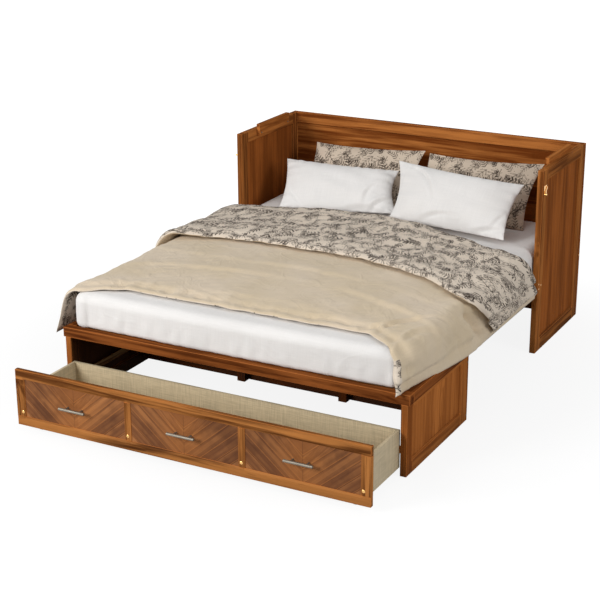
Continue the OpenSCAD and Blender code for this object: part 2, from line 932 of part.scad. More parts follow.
module grid_solid(upper, lower) {
    nu = len(upper) - 1;
    nv = len(upper[0]) - 1;
    row = nv + 1;
    low = (nu + 1) * row;
    function at(i, j) = i * row + j;
    cells = [for (i = [0:nu - 1]) for (j = [0:nv - 1])
        [at(i, j), at(i, j + 1), at(i + 1, j + 1), at(i + 1, j)]];
    faces = concat(
        [for (c = cells) each [[c[0], c[1], c[2]], [c[0], c[2], c[3]]]],
        [for (c = cells) each [
            [low + c[0], low + c[2], low + c[1]],
            [low + c[0], low + c[3], low + c[2]]]],
        [for (i = [0:nu - 1]) each [
            [at(i, 0), at(i + 1, 0), low + at(i + 1, 0)],
            [at(i, 0), low + at(i + 1, 0), low + at(i, 0)],
            [at(i, nv), low + at(i + 1, nv), at(i + 1, nv)],
            [at(i, nv), low + at(i, nv), low + at(i + 1, nv)]]],
        [for (j = [0:nv - 1]) each [
            [at(0, j + 1), at(0, j), low + at(0, j)],
            [at(0, j + 1), low + at(0, j), low + at(0, j + 1)],
            [at(nu, j + 1), low + at(nu, j), at(nu, j)],
            [at(nu, j + 1), low + at(nu, j + 1), low + at(nu, j)]]]);
    polyhedron(points = concat(flat(upper), flat(lower)), faces = faces);
}

// Duvet. Its cross-section runs over the mattress and hangs down beside it:
// q is the distance from the middle, measured on the cloth. Past the
// mattress edge the cloth turns through a quarter circle and then hangs.
bend_r = 46;           // radius of the duvet's inner face at the mattress edge
bend_arc = bend_r * PI / 2;
bend_x = mattress_x - 16;
flare = 0.44;          // how far the hanging part leans outwards, per unit
duvet_low = mattress_top + rest_gap;
hang_clear = 8;        // least distance from the hanging edge to the platform
hang = min(duvet_drop - bend_r, duvet_low - bend_r - deck_top - hang_clear);
duvet_half = bend_x + bend_arc + hang;

function over_x(a) =
    a < bend_x ? a
    : a < bend_x + bend_arc ? bend_x + bend_r * sin((a - bend_x) / bend_r * 180 / PI)
    : bend_x + bend_r + flare * (a - bend_x - bend_arc);
function over_z(a) =
    a < bend_x ? 0
    : a < bend_x + bend_arc ? -bend_r * (1 - cos((a - bend_x) / bend_r * 180 / PI))
    : -bend_r - (a - bend_x - bend_arc);
function over_tilt(a) =
    a < bend_x ? 0 : a < bend_x + bend_arc ? (a - bend_x) / bend_r * 180 / PI : 90;

// A point of the cross-section, lifted by h along its outward direction
function over(q, y, h) =
    let (a = abs(q), tilt = over_tilt(a))
    [sign(q) * (over_x(a) + h * sin(tilt)), y, duvet_low + over_z(a) + h * cos(tilt)];

// Lines across the bed, by distance from the middle of the cloth
head_mid = -560;       // place of the head edge where it is furthest up
head_mid_x = -60;      // and how far that is to the left
head_round = 300;      // how round the head edge is there
head_slopes = [0.33, 0.52]; // how it draws away to the left and to the right
head_hangs = [1.2, 0]; // and in the two hanging parts
function head_on_top(q) =
    let (d = q - head_mid_x)
    head_mid - head_slopes[d < 0 ? 0 : 1] * (sqrt(d * d + head_round * head_round) - head_round);
function head_line(q) =
    let (a = min(abs(q), mattress_x))
    head_on_top(sign(q) * a) - head_hangs[q < 0 ? 0 : 1] * (abs(q) - a);
foot_mid = 128;        // how far the foot edge lies behind the mattress front
foot_flat = 590;       // half the width over which it is straight
foot_slopes = [0.50, 0.66]; // how it comes forward beyond that, left and right
foot_hangs = [0.2, 0.25];   // and in the two hanging parts
function foot_line(q) =
    let (a = min(abs(q), mattress_x), side = q < 0 ? 0 : 1)
    mattress_foot_y + foot_mid - foot_slopes[side] * max(0, a - foot_flat)
    - foot_hangs[side] * (abs(q) - a);
hem_mid = -1212;       // the turned-back hem, in the middle
hem_flats = [540, 180]; // how far it runs straight, left and right
hem_slopes = [0.45, 0.33]; // how it comes towards the foot beyond that
function hem_line(q) =
    let (a = min(abs(q), mattress_x), side = q < 0 ? 0 : 1)
    hem_mid - hem_slopes[side] * max(0, a - hem_flats[side]) - hem_slopes[0] * (abs(q) - a);

// Quilted bands across the duvet, and a few long folds in the hanging parts
band_h = 3.5;
band_pitch = 290;
hang_h = 2.5;
hang_pitch = 410;
edge_share = 0.45;     // part of the thickness that is left at an edge
edge_rise = 4;         // how fast the thickness grows from there
function band(y) = band_h * (1 - cos((y - base_front) * 360 / band_pitch));
function drop_fold(q, y) =
    abs(q) > mattress_x ? hang_h * (1 - sin(y * 360 / hang_pitch)) : 0;
function edge_thin(t) = min(1, edge_share + edge_rise * min(t, 1 - t));

// Places across half the duvet: few on top, closer together round the bend
half_q = concat(
    [for (k = [0:5]) bend_x * k / 6],
    [for (k = [0:3]) bend_x + bend_arc * k / 4],
    [for (k = [0:3]) bend_x + bend_arc + hang * k / 3]);
half_n = len(half_q) - 1;
duvet_u = 2 * half_n;
duvet_v = 15;
function duvet_q(i) = sign(i - half_n) * half_q[abs(i - half_n)];
function duvet_grid(lift, wave) =
    [for (i = [0:duvet_u]) [for (j = [0:duvet_v])
        let (q = duvet_q(i), t = j / duvet_v,
             y = foot_line(q) + t * (head_line(q) - foot_line(q)))
        over(q, y, edge_thin(t) * (lift - wave * (drop_fold(q, y) + band(y))))]];

module duvet() {
    color(beige_cloth) grid_solid(duvet_grid(duvet_t, 1), duvet_grid(0, 0));
}

// The turned-back part lies on the duvet, printed side up
fold_v = 6;
fold_lift = duvet_t + rest_gap;
hang_thin = 0.5;       // part of its thickness that is left where it hangs
function fold_full(q) = abs(q) > bend_x + bend_arc ? hang_thin : 1;
function fold_grid(lift) =
    [for (i = [1:duvet_u - 1]) [for (j = [0:fold_v])
        let (q = duvet_q(i), t = j / fold_v, y = hem_line(q) + t * (head_line(q) - hem_line(q)))
        over(q, y, fold_lift + lift * edge_thin(t) * fold_full(q))]];

module duvet_turnback() {
    color(greige_cloth) grid_solid(fold_grid(fold_t), fold_grid(0));
}

// Pillows: crowned, with sides drawn in between the corners, leaning back
pillow_u = 14;
pillow_v = 10;
seam_half = 2;         // half the thickness at the seam
draw_in = 0.07;        // how far a side is drawn in, per unit of its half size

// Height of the crown over the pillow, a and b from -1 to 1
crown_flat = 2.5;      // larger is flatter in the middle
crown_full = 0.62;     // smaller is fuller towards the seam
function crown_along(a) = pow(max(0, 1 - pow(abs(a), crown_flat)), crown_full);
function crown_at(a, b) = crown_along(a) * crown_along(b);
function pillow_point(a, b, w, h, t) =
    [w / 2 * a * (1 - draw_in * (1 - b * b)),
     h / 2 * b * (1 - draw_in * (1 - a * a)),
     seam_half + (t / 2 - seam_half) * crown_at(a, b)];
// Leans a point back by the angle lean and turns it by yaw
function lean_point(p, lean, yaw) =
    let (y = p[1] * cos(lean) - p[2] * sin(lean), z = p[1] * sin(lean) + p[2] * cos(lean))
    [p[0] * cos(yaw) - y * sin(yaw), p[0] * sin(yaw) + y * cos(yaw), z];
// Grid points drawn closer together near the seam
function even_out(k, n) = sin(90 * (2 * k / n - 1));
function pillow_grid(w, h, t, lean, yaw, side) =
    [for (i = [0:pillow_u]) [for (j = [0:pillow_v])
        let (p = pillow_point(even_out(i, pillow_u), even_out(j, pillow_v), w, h, t))
        lean_point([p[0], p[1], side * p[2]], lean, yaw)]];

// A pillow whose middle is at a place, let down until it rests on the mattress
module pillow(place, w, h, t, lean, yaw) {
    upper = pillow_grid(w, h, t, lean, yaw, 1);
    lower = pillow_grid(w, h, t, lean, yaw, -1);
    lowest = min([for (p = flat(lower)) p[2]]);
    translate([place[0], place[1], mattress_top + rest_gap - lowest])
        grid_solid(upper, lower);
}

// Place, lean, turn and how much wider it lies than its cloth
pillow_left_lie = [[-362, -434], 37, 11, -35];
pillow_right_lie = [[326, -476], 50, -7, 20];
sham_x = 318;
sham_y = -226;
sham_lean = 50;

module lying(lie) {
    pillow(lie[0], pillow_w + lie[3], pillow_h, pillow_t, lie[1], lie[2]);
}

module pillow_left() {
    color(white_cloth) lying(pillow_left_lie);
}

module pillow_right() {
    color(white_cloth) lying(pillow_right_lie);
}

module sham_left() {
    color(greige_cloth)
        pillow([-sham_x, sham_y], sham_w, sham_h, sham_t, sham_lean, 0);
}

module sham_right() {
    color(greige_cloth)
        pillow([sham_x, sham_y], sham_w, sham_h, sham_t, sham_lean, 0);
}

left_side_frame();
left_side_panel();
right_side_frame();
right_side_panel();
back_frame();
back_boards();
lid_cleats();
cleat_bolts();
cabinet_bolts();
latch_plates();
latch_lever_left();
latch_lever_right();
head_ledgers();
head_deck_frame();
head_slats();
head_hinge_plates();
head_hinge_pins();
leaf_a_frame();
leaf_a_slats();
leaf_a_hinge_plates();
ridge_hinge_pins();
leaf_b_frame();
leaf_b_slats();
leaf_b_hinge_plates();
foot_hinge_plates();
foot_hinge_pins();
foot_deck_frame();
foot_slats();
base_left_frame();
base_left_panel();
base_right_frame();
base_right_panel();
base_back_board();
support_legs();
drawer_guides();
base_bolts();
drawer_front_frame();
drawer_front_panels();
drawer_inner_front();
drawer_sides();
drawer_back();
drawer_bottom();
drawer_handles();
drawer_studs();
caster_brackets();
caster_axles();
caster_wheel_front_left();
caster_wheel_front_right();
caster_wheel_rear_left();
caster_wheel_rear_right();
mattress_head();
mattress_middle();
mattress_foot();
duvet();
duvet_turnback();
pillow_left();
pillow_right();
sham_left();
sham_right();
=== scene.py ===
"""Wall bed, opened out: the finishes and the bedding, built round the packed frame.

Every length is in metres, in the frame's own axes: X to the right, -Y to the foot, Z up,
with the origin on the floor below the middle of the cabinet's back.
"""

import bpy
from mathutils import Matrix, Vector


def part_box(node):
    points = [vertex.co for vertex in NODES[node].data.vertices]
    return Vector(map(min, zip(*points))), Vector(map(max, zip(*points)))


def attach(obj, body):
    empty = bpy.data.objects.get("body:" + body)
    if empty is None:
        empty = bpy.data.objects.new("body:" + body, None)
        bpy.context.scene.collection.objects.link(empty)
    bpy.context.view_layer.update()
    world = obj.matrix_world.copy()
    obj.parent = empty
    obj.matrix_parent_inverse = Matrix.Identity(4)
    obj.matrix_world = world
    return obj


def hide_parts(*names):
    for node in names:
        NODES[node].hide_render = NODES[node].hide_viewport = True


bl_info = {
    "name": "Wall Bed",
    "version": (1, 0, 0),
    "blender": (4, 5, 0),
    "location": "3D View > Sidebar > Wall Bed",
    "description": "Finishes and bedding of a wall bed with a drawer",
    "category": "Object",
}

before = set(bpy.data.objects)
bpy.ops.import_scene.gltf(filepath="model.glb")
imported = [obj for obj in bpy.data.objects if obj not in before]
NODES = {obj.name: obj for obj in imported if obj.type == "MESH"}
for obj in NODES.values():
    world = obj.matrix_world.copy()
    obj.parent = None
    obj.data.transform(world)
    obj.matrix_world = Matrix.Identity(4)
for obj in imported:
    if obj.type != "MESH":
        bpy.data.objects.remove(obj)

import math

import bmesh
import bpy
import numpy as np
from bpy.props import FloatProperty, FloatVectorProperty, PointerProperty
from mathutils import Matrix, Vector


# ---------------------------------------------------------------- settings

def tint(red, green, blue):
    """A colour given from 0 to 255, as Blender's linear values."""
    parts = (c / 255 for c in (red, green, blue))
    return tuple(c / 12.92 if c < 0.04045 else ((c + 0.055) / 1.055) ** 2.4 for c in parts)


def colour(name, about, *rgb):
    return FloatVectorProperty(name=name, description=about, subtype="COLOR", size=3,
                               min=0, max=1, default=tint(*rgb))


def length(name, about, default):
    return FloatProperty(name=name, description=about, default=default, unit="LENGTH")


def amount(name, about, default):
    return FloatProperty(name=name, description=about, default=default, min=0)


class WoodLook(bpy.types.PropertyGroup):
    """Colours and grain of the stained wood."""
    light: colour("Light", "Back and base between the grain lines", 186, 116, 58)
    dark: colour("Dark", "Grain lines and knots of the back and base", 112, 56, 20)
    deep_light: colour("Side light", "Sides and rails between the grain lines", 186, 108, 50)
    deep_dark: colour("Side dark", "Grain lines and knots of the sides and rails", 74, 34, 12)
    rail_light: colour("Foot rail light", "Foot rail between the grain lines", 140, 80, 38)
    # Tone of the edges: partly rubbed wear, partly a painted highlight where the edges catch the
    # light
    arris: colour("Edges", "Rubbed edges of the boards", 178, 112, 60)
    bare: colour("Bare wood", "Unstained wood of the slats", 204, 164, 112)
    linen: colour("Linen laminate", "Drawer box", 202, 184, 150)
    veneer_light: colour("Veneer light", "Light strips of the drawer veneer", 164, 108, 64)
    veneer_dark: colour("Veneer dark", "Dark strips of the drawer veneer", 74, 44, 30)
    veneer_mid: colour("Veneer lines", "Grain lines of the drawer veneer", 112, 70, 44)
    front_light: colour("Front light", "Drawer's front frame between the grain lines",
                        182, 118, 62)
    front_dark: colour("Front dark", "Grain lines of the drawer's front frame", 84, 46, 20)
    strip: length("Veneer strip", "Width of one strip of the drawer veneer", 0.045)
    slant: FloatProperty(name="Veneer slant", description="Slope of the veneer strips",
                         default=math.radians(40), subtype="ANGLE")
    edge: length("Edge rounding", "Radius of the rubbed edges", 0.0012)
    gloss: amount("Roughness", "Roughness of the lacquer", 0.46)


class MetalLook(bpy.types.PropertyGroup):
    """Colours and roughness of the metal and the casters."""
    nickel: colour("Nickel", "Brushed handles and bolts", 128, 121, 110)
    brass: colour("Brass", "Studs and latches", 236, 186, 116)
    steel: colour("Steel", "Hinges and axles", 150, 151, 154)
    black: colour("Caster", "Wheels and brackets", 28, 26, 25)
    nickel_rough: amount("Nickel roughness", "Roughness of the handles and bolts", 0.58)
    brass_rough: amount("Brass roughness", "Roughness of the studs and latches", 0.24)
    steel_rough: amount("Steel roughness", "Roughness of the hinges and axles", 0.38)


class ClothLook(bpy.types.PropertyGroup):
    """Colours and scale of the cloths."""
    white: colour("White", "Sheet and pillows", 232, 229, 226)
    ticking: colour("Ticking", "Cover of the mattress sections", 222, 218, 210)
    beige: colour("Beige", "Outside of the duvet", 208, 189, 159)
    blush: colour("Beige, pale", "Paler clouds in the beige", 215, 197, 172)
    ground: colour("Print ground", "Ground of the leaf print", 214, 200, 183)
    ink: colour("Print ink", "Lines of the leaf print", 40, 25, 14)
    sprig: length("Sprig", "Size of one sprig of the print", 0.130)
    thread: length("Thread", "Pitch of the coarse threads", 0.0024)


class BedShape(bpy.types.PropertyGroup):
    """Sizes of the bedding."""
    sheet_bulge: length("Sheet bulge", "Bulge of the mattress at its foot", 0.010)
    side_bulge: length("Side bulge", "Bulge of the mattress at its sides", 0.014)
    loft: length("Duvet thickness", "Thickness of one layer of the duvet", 0.027)
    fold_loft: length("Turned-back thickness", "Thickness of the layer turned back", 0.028)
    band_h: length("Band height", "How far the soft ridges across the duvet stand up", 0.011)
    hem_seam: length("Hem seam", "Distance of the sewn line from the duvet's edge", 0.062)
    pillow_h: length("Pillow height", "Height of a pillow", 0.350)
    sham_h: length("Sham height", "Height of a sham", 0.350)


class StageLook(bpy.types.PropertyGroup):
    """Floor, lights and camera."""
    floor: colour("Floor", "Plain pale floor", 176, 176, 176)
    glow: amount("Floor white", "How far the camera sees the floor as white", 0.76)
    sky: amount("Sky", "Strength of the even light all round", 0.32)
    key: amount("Key", "Power of the large lamp at the front left, in watts", 400)
    fill: amount("Fill", "Power of the lamp at the front right, in watts", 120)
    top: amount("Top", "Power of the lamp overhead, in watts", 20)
    lens: FloatProperty(name="Lens", description="Focal length in millimetres", default=90.08)


GROUPS = {"bed_wood": WoodLook, "bed_metal": MetalLook, "bed_cloth": ClothLook,
          "bed_shape": BedShape, "bed_stage": StageLook}


def look(name):
    return getattr(bpy.context.scene, name)


# ---------------------------------------------------------------- node wiring

class Wire:
    """A shader socket that adds, multiplies and compares like a number."""

    def __init__(self, tree, socket):
        self.tree, self.socket = tree, socket

    def _do(self, operation, *others):
        node = self.tree.nodes.new("ShaderNodeMath")
        node.operation = operation
        for socket, value in zip(node.inputs, (self, *others)):
            feed(self.tree, socket, value)
        return Wire(self.tree, node.outputs[0])

    def __add__(self, other): return self._do("ADD", other)
    def __radd__(self, other): return self._do("ADD", other)
    def __sub__(self, other): return self._do("SUBTRACT", other)
    def __mul__(self, other): return self._do("MULTIPLY", other)
    def __rmul__(self, other): return self._do("MULTIPLY", other)
    def __truediv__(self, other): return self._do("DIVIDE", other)
    def __gt__(self, other): return self._do("GREATER_THAN", other)
    def __lt__(self, other): return self._do("LESS_THAN", other)
    def __rsub__(self, other): return (self * -1) + other
    def floor(self): return self._do("FLOOR")
    def part(self): return self._do("FRACT")
    def size(self): return self._do("ABSOLUTE")
    def sine(self): return self._do("SINE")
    def cosine(self): return self._do("COSINE")
    def root(self): return self._do("SQRT")
    def most(self, other): return self._do("MAXIMUM", other)
    def least(self, other): return self._do("MINIMUM", other)
    def angle(self, other): return self._do("ARCTAN2", other)

    def ramp(self, low, high, to_low=0.0, to_high=1.0):
        """Smooth step from to_low at low to to_high at high."""
        node = self.tree.nodes.new("ShaderNodeMapRange")
        node.interpolation_type = "SMOOTHSTEP"
        for socket, value in zip(node.inputs, (self, low, high, to_low, to_high)):
            feed(self.tree, socket, value)
        return Wire(self.tree, node.outputs[0])

    def parts(self):
        node = self.tree.nodes.new("ShaderNodeSeparateXYZ")
        feed(self.tree, node.inputs[0], self)
        return [Wire(self.tree, s) for s in node.outputs]


def feed(tree, socket, value):
    """Links a wire into a socket, or sets a plain value on it."""
    if isinstance(value, Wire):
        tree.links.new(value.socket, socket)
    elif socket.type == "RGBA" and len(value) == 3:
        socket.default_value = (*value, 1.0)
    else:
        socket.default_value = value


def joined(tree, x, y, z):
    node = tree.nodes.new("ShaderNodeCombineXYZ")
    for socket, value in zip(node.inputs, (x, y, z)):
        feed(tree, socket, value)
    return Wire(tree, node.outputs[0])


def blended(tree, share, a, b, kind="RGBA"):
    """a where share is 0 and b where it is 1."""
    node = tree.nodes.new("ShaderNodeMix")
    node.data_type = kind
    live = [s for s in node.inputs if s.enabled]
    for socket, value in zip(live, (share, a, b)):
        feed(tree, socket, value)
    return Wire(tree, next(s for s in node.outputs if s.enabled))


def noise(tree, vector, scale, detail=2.0, rough=0.5, warp=0.0):
    node = tree.nodes.new("ShaderNodeTexNoise")
    feed(tree, node.inputs["Vector"], vector)
    for name, value in (("Scale", scale), ("Detail", detail), ("Roughness", rough),
                        ("Distortion", warp)):
        feed(tree, node.inputs[name], value)
    return Wire(tree, node.outputs["Fac"])


def chance(tree, vector):
    """Random value and colour that stay the same for the same vector."""
    node = tree.nodes.new("ShaderNodeTexWhiteNoise")
    node.noise_dimensions = "3D"
    feed(tree, node.inputs["Vector"], vector)
    return Wire(tree, node.outputs["Value"]), Wire(tree, node.outputs["Color"])


# Kinds of the groups' sockets; all others are numbers
KINDS = {"Vector": "NodeSocketVector", "Color": "NodeSocketColor",
         "Light": "NodeSocketColor", "Dark": "NodeSocketColor"}


def shader_group(name, inputs, outputs, build):
    """A shader node group with the named sockets, built once; build(tree, wires) gives the
    output wires."""
    if name in bpy.data.node_groups:
        return bpy.data.node_groups[name]
    tree = bpy.data.node_groups.new(name, "ShaderNodeTree")
    for side, labels in (("INPUT", inputs), ("OUTPUT", outputs)):
        for label in labels.split():
            tree.interface.new_socket(label, in_out=side,
                                      socket_type=KINDS.get(label, "NodeSocketFloat"))
    head, tail = (tree.nodes.new(kind) for kind in ("NodeGroupInput", "NodeGroupOutput"))
    wires = build(tree, {label: Wire(tree, head.outputs[label]) for label in inputs.split()})
    for label in outputs.split():
        feed(tree, tail.inputs[label], wires[label])
    return tree


def placed(tree, group, **values):
    """Puts a group into a tree; underscores in the names of values stand for blanks."""
    node = tree.nodes.new("ShaderNodeGroup")
    node.node_tree = group
    for label, value in values.items():
        feed(tree, node.inputs[label.replace("_", " ")], value)
    return {s.name: Wire(tree, s) for s in node.outputs}


# Waves per metre across and along the grain
KNOTS, LINES, PORES = (5.0, 1.7), (55.0, 2.4), (420.0, 14.0)
STREAKS, CLOUDS = (21.0, 1.1), (7.0, 1.6)


def along_grain(tree, x, y, z, waves, seed=0.0):
    """A vector for noise with waves (across, along) per metre, the grain running along z."""
    across, along = waves
    return joined(tree, x * across + seed, y * across, z * along)


def grain_group():
    """Wood grain along the vector's z: fine lines, streaks, broad clouds and pores, with a
    few knots that the lines and streaks swirl round."""
    def build(t, i):
        x, y, z = i["Vector"].parts()
        seed = i["Seed"]
        knot = t.nodes.new("ShaderNodeTexVoronoi")
        feed(t, knot.inputs["Vector"], along_grain(t, x, y, z, KNOTS, seed))
        feed(t, knot.inputs["Scale"], 1.0)
        near = Wire(t, knot.outputs["Distance"])
        pick, _ = chance(t, Wire(t, knot.outputs["Color"]))
        rare = pick > 0.72
        eye = near.ramp(0.03, 0.16, 1.0, 0.0) * rare
        swirl = near.ramp(0.0, 0.45, 0.10, 0.0) * rare
        bent = (x + swirl, y + swirl, z)
        fine = noise(t, along_grain(t, *bent, LINES, seed), 1.0, 5.0, 0.62, 0.35)
        streak = noise(t, along_grain(t, *bent, STREAKS, seed), 1.0, 3.0, 0.6, 0.5)
        pores = noise(t, along_grain(t, x, y, z, PORES, seed), 1.0, 2.0, 0.5)
        clouds = noise(t, along_grain(t, x, y, z, CLOUDS, seed), 1.0, 2.0, 0.5)
        tone = (fine.ramp(0.38, 0.62) * 0.34 + streak.ramp(0.40, 0.60) * 0.44
                + clouds.ramp(0.38, 0.62) * 0.22).ramp(0.05, 0.95)
        base = blended(t, tone, i["Dark"], i["Light"])
        pored = blended(t, pores.ramp(0.60, 0.72, 0.0, 0.30), base, i["Dark"])
        knotted = blended(t, eye * 0.8, pored, i["Dark"])
        height = fine * 0.5 - pores.ramp(0.56, 0.70) * 0.5 - eye * 0.4
        return {"Color": knotted, "Height": height,
                "Rough": fine.ramp(0.2, 0.8, 0.08, -0.04) + i["Gloss"]}
    return shader_group("Wood grain", "Vector Seed Light Dark Gloss", "Color Height Rough",
                        build)


def member_group():
    """Grain direction in a frame of stiles and rails. Across and Up are the two coordinates
    in its plane and Deep the third; rails are where Up is past Low or High between the
    stiles that end at Left and Right. The seed differs from rail to rail and stile to
    stile."""
    def build(t, i):
        u, w, d = i["Across"], i["Up"], i["Deep"]
        level = (w < i["Low"]).most(w > i["High"])
        rail = level * (u > i["Left"]) * (u < i["Right"])
        upright, lying = joined(t, d, u, w), joined(t, d, w, u)
        middle = (i["Left"] + i["Right"]) * 0.5
        seed = rail * 3.7 + (u > middle) * (1 - rail) * 1.9 + (w > i["High"]) * rail * 2.3
        return {"Vector": blended(t, rail, upright, lying, "VECTOR"), "Seed": seed}
    return shader_group("Frame members", "Across Up Deep Low High Left Right", "Vector Seed",
                        build)


# Tone that the slow clouds and the band near the floor darken towards
DARKENING = (0.03, 0.018, 0.01)


def wear_group():
    """Darkening and dulling: slow clouds, and a darkening that grows towards the floor."""
    def build(t, i):
        slow = noise(t, i["Vector"], 2.3, 3.0, 0.6)
        # darker within 0.10 of the floor
        low = i["Vector"].parts()[2].ramp(0.0, 0.10, 0.55, 0.0)
        dull = (slow.ramp(0.55, 0.85) * 0.35 + low) * i["Amount"]
        return {"Color": blended(t, dull, i["Color"], DARKENING), "Rough": dull * 0.25}
    return shader_group("Soiling", "Vector Color Amount", "Color Rough", build)


FULL_TURN = 2 * math.pi
SLUB_WIDE, SLUB_LONG = 320.0, 9.0   # waves of the threads' slubs per metre


def weave_group():
    """Plain weave on a flat vector: two sets of threads with uneven slubs."""
    def build(t, i):
        u, v, _ = i["Vector"].parts()
        across = (u / i["Pitch"] * FULL_TURN).sine()
        along = (v / i["Pitch"] * FULL_TURN).sine()
        slubs = (noise(t, joined(t, u * SLUB_LONG, v * SLUB_WIDE, 0.0), 1.0, 2.0)
                 + noise(t, joined(t, u * SLUB_WIDE, v * SLUB_LONG, 5.0), 1.0, 2.0))
        return {"Height": across * along * 0.5 + slubs,
                "Tone": slubs.ramp(0.7, 1.3, -1.0, 1.0)}
    return shader_group("Weave", "Vector Pitch", "Height Tone", build)


def crease_group():
    """Soft creases of washed cloth, as a height in metres."""
    def build(t, i):
        v = i["Vector"]
        broad = noise(t, v, 5.5, 3.0, 0.55, 0.8)
        fine = noise(t, v, 24.0, 2.0, 0.5, 1.4)
        folds = (broad * 2 - 1).size().ramp(0.0, 0.16, 1.0, 0.0)
        return {"Height": folds * 0.0016 + fine * 0.0009}
    return shader_group("Creases", "Vector", "Height", build)


# A sprig's form, in cells: how far it strays, its stem's half length, sway and bends, its
# leaves' number to a cell, slope, distance from the stem, length and breadth, and its
# flower's place and radius
STRAY, STEM, SWAY, BENDS = 0.24, 0.42, 0.060, 6.5
LEAVES, LEAF_SLOPE, LEAF_OUT, LEAF_LONG, LEAF_WIDE = 6.5, 0.75, 0.105, 0.095, 0.036
FLOWER_AT, PETALS, FLOWER_R = 0.33, 5.0, 0.130


def sprig_group():
    """One layer of leaf sprigs in a brick layout of cells. In each cell, turned at random,
    a stem x = a sin(k y) carries pairs of slanting leaves, with a five-petalled flower
    r = c (3 + cos 5 t) at its tip. Ink is 1 on lines and about a third inside leaves."""
    def build(t, i):
        u, v, _ = i["Vector"].parts()
        v = v / i["Cell"]
        row = v.floor()
        u = u / i["Cell"] + row * 0.5 + i["Shift"]
        pick, hues = chance(t, joined(t, u.floor(), row, i["Shift"]))
        red, green, blue = hues.parts()
        x0 = u.part() - 0.5 + (green - 0.5) * STRAY
        y0 = v.part() - 0.5 + (blue - 0.5) * STRAY
        turn = pick * FULL_TURN
        y = x0 * turn.sine() + y0 * turn.cosine()
        x = (x0 * turn.cosine() - y0 * turn.sine()
             - (y * BENDS + red * 3.0).sine() * SWAY)
        side = x.size()
        stem = side.ramp(0.008, 0.017, 1.0, 0.0) * (y.size() < STEM)
        taper = (y * -0.9 + 0.85).least(1.0).most(0.25)
        step = ((y - side * LEAF_SLOPE) * LEAVES).part() - 0.5
        reach = (side - taper * LEAF_OUT) / (taper * LEAF_LONG)
        breadth = step / (LEAVES * taper * LEAF_WIDE)
        oval = (reach * reach + breadth * breadth).root()
        leaf = oval.ramp(0.90, 1.08, 1.0, 0.0)
        rim = leaf * oval.ramp(0.58, 0.85)
        vein = leaf * breadth.size().ramp(0.10, 0.30, 1.0, 0.0)
        leaves = rim.most(vein * 0.6).most(leaf * (red > 0.7)) * (y.size() < 0.40)
        up = y - FLOWER_AT
        radius = (x * x + up * up).root()
        petals = ((up.angle(x) * PETALS).cosine() * 0.22 + 0.78) * FLOWER_R
        bloom = (radius - petals).size().ramp(0.007, 0.016, 1.0, 0.0)
        inner = (radius - petals * 0.5).size().ramp(0.006, 0.014, 1.0, 0.0)
        heart = radius.ramp(0.020, 0.034, 1.0, 0.0)
        wash = (radius - petals).ramp(-0.01, 0.01, 0.25, 0.0)
        flower = bloom.most(inner * 0.8).most(heart).most(wash) * (red > 0.35)
        inside = (x0 * x0 + y0 * y0).root().ramp(0.50, 0.54, 1.0, 0.0)
        return {"Ink": stem.most(leaves).most(flower) * inside}
    return shader_group("Leaf sprigs", "Vector Cell Shift", "Ink", build)


# ---------------------------------------------------------------- materials

def blank(name, **sockets):
    """A new material with a Principled shader whose plain sockets are set."""
    material = bpy.data.materials.new(name)
    material.use_nodes = True
    tree = material.node_tree
    shader = tree.nodes["Principled BSDF"]
    for label, value in sockets.items():
        feed(tree, shader.inputs[label.replace("_", " ")], value)
    return material, tree, shader


def place_of(tree, output="Object"):
    node = tree.nodes.new("ShaderNodeTexCoord")
    return Wire(tree, node.outputs[output])


def coat(tree, shader, shade, rough=None, height=None, metres=1.0):
    """Feeds a colour, a roughness and a height in units of so many metres to a shader."""
    feed(tree, shader.inputs["Base Color"], shade)
    if rough is not None:
        feed(tree, shader.inputs["Roughness"], rough)
    if height is not None:
        bump = tree.nodes.new("ShaderNodeBump")
        feed(tree, bump.inputs["Height"], height)
        bump.inputs["Distance"].default_value = metres
        tree.links.new(bump.outputs[0], shader.inputs["Normal"])


AXES = {"x": 0, "y": 1, "z": 2}
FAR = 9.0       # past every edge of the bed
# Painted shade: the near-black tone painted on the base's inner faces, which lie in shade under the
# platform
INNER_SHADE = (0.012, 0.006, 0.003)
BOARD_SEED = 1.37       # by how much one board's grain seed differs from the next one's


def wood(name, axes, limits=(-FAR, FAR, -FAR, FAR), light=None, dark=None, pitch=0.0,
         planks=0.0, inside=0.0, calm=0.0):
    """Stained wood. axes names the coordinates that are deep, across and up; the grain
    runs up, or across on rails past the limits (low, high, left, right). With a
    pitch, each board of that width has a tone of its own; with planks, so have the
    strips glued up into one board. Faces nearer the middle than inside get painted
    shade, near black, for the shade inside the base.
    Calm draws the light and dark tones towards their middle tone, as on quiet timber."""
    set_by = look("bed_wood")
    light, dark = tuple(light or set_by.light), tuple(dark or set_by.dark)
    middle = [0.56 * a + 0.44 * b for a, b in zip(light, dark)]
    light, dark = (tuple(c + calm * (m - c) for c, m in zip(tone, middle))
                   for tone in (light, dark))
    material, t, shader = blank(name, Coat_Weight=0.02, Coat_Roughness=0.3,
                                Specular_IOR_Level=0.0)
    at = place_of(t)
    deep, across, up = (at.parts()[AXES[a]] for a in axes)
    low, high, left, right = limits
    member = placed(t, member_group(), Across=across, Up=up, Deep=deep,
                    Low=low, High=high, Left=left, Right=right)
    seed = member["Seed"]
    if pitch:
        seed = seed + (across / pitch).floor() * BOARD_SEED
    made = placed(t, grain_group(), Vector=member["Vector"], Seed=seed,
                  Light=light, Dark=dark, Gloss=set_by.gloss)
    shade = made["Color"]
    strips = planks or pitch
    if strips:
        tone, _ = chance(t, joined(t, (across / strips).floor(), 3.0, 1.0))
        shade = blended(t, tone * 0.5, shade, dark)
    # Painted shade on the faces nearer the middle than inside
    if inside:
        inner = at.parts()[0].size().ramp(inside - 0.001, inside, 0.80, 0.0)
        shade = blended(t, inner, shade, INNER_SHADE)
    worn = placed(t, wear_group(), Vector=at, Color=shade, Amount=0.5)
    coat(t, shader, worn["Color"], made["Rough"] + worn["Rough"], made["Height"], 0.0005)
    return material


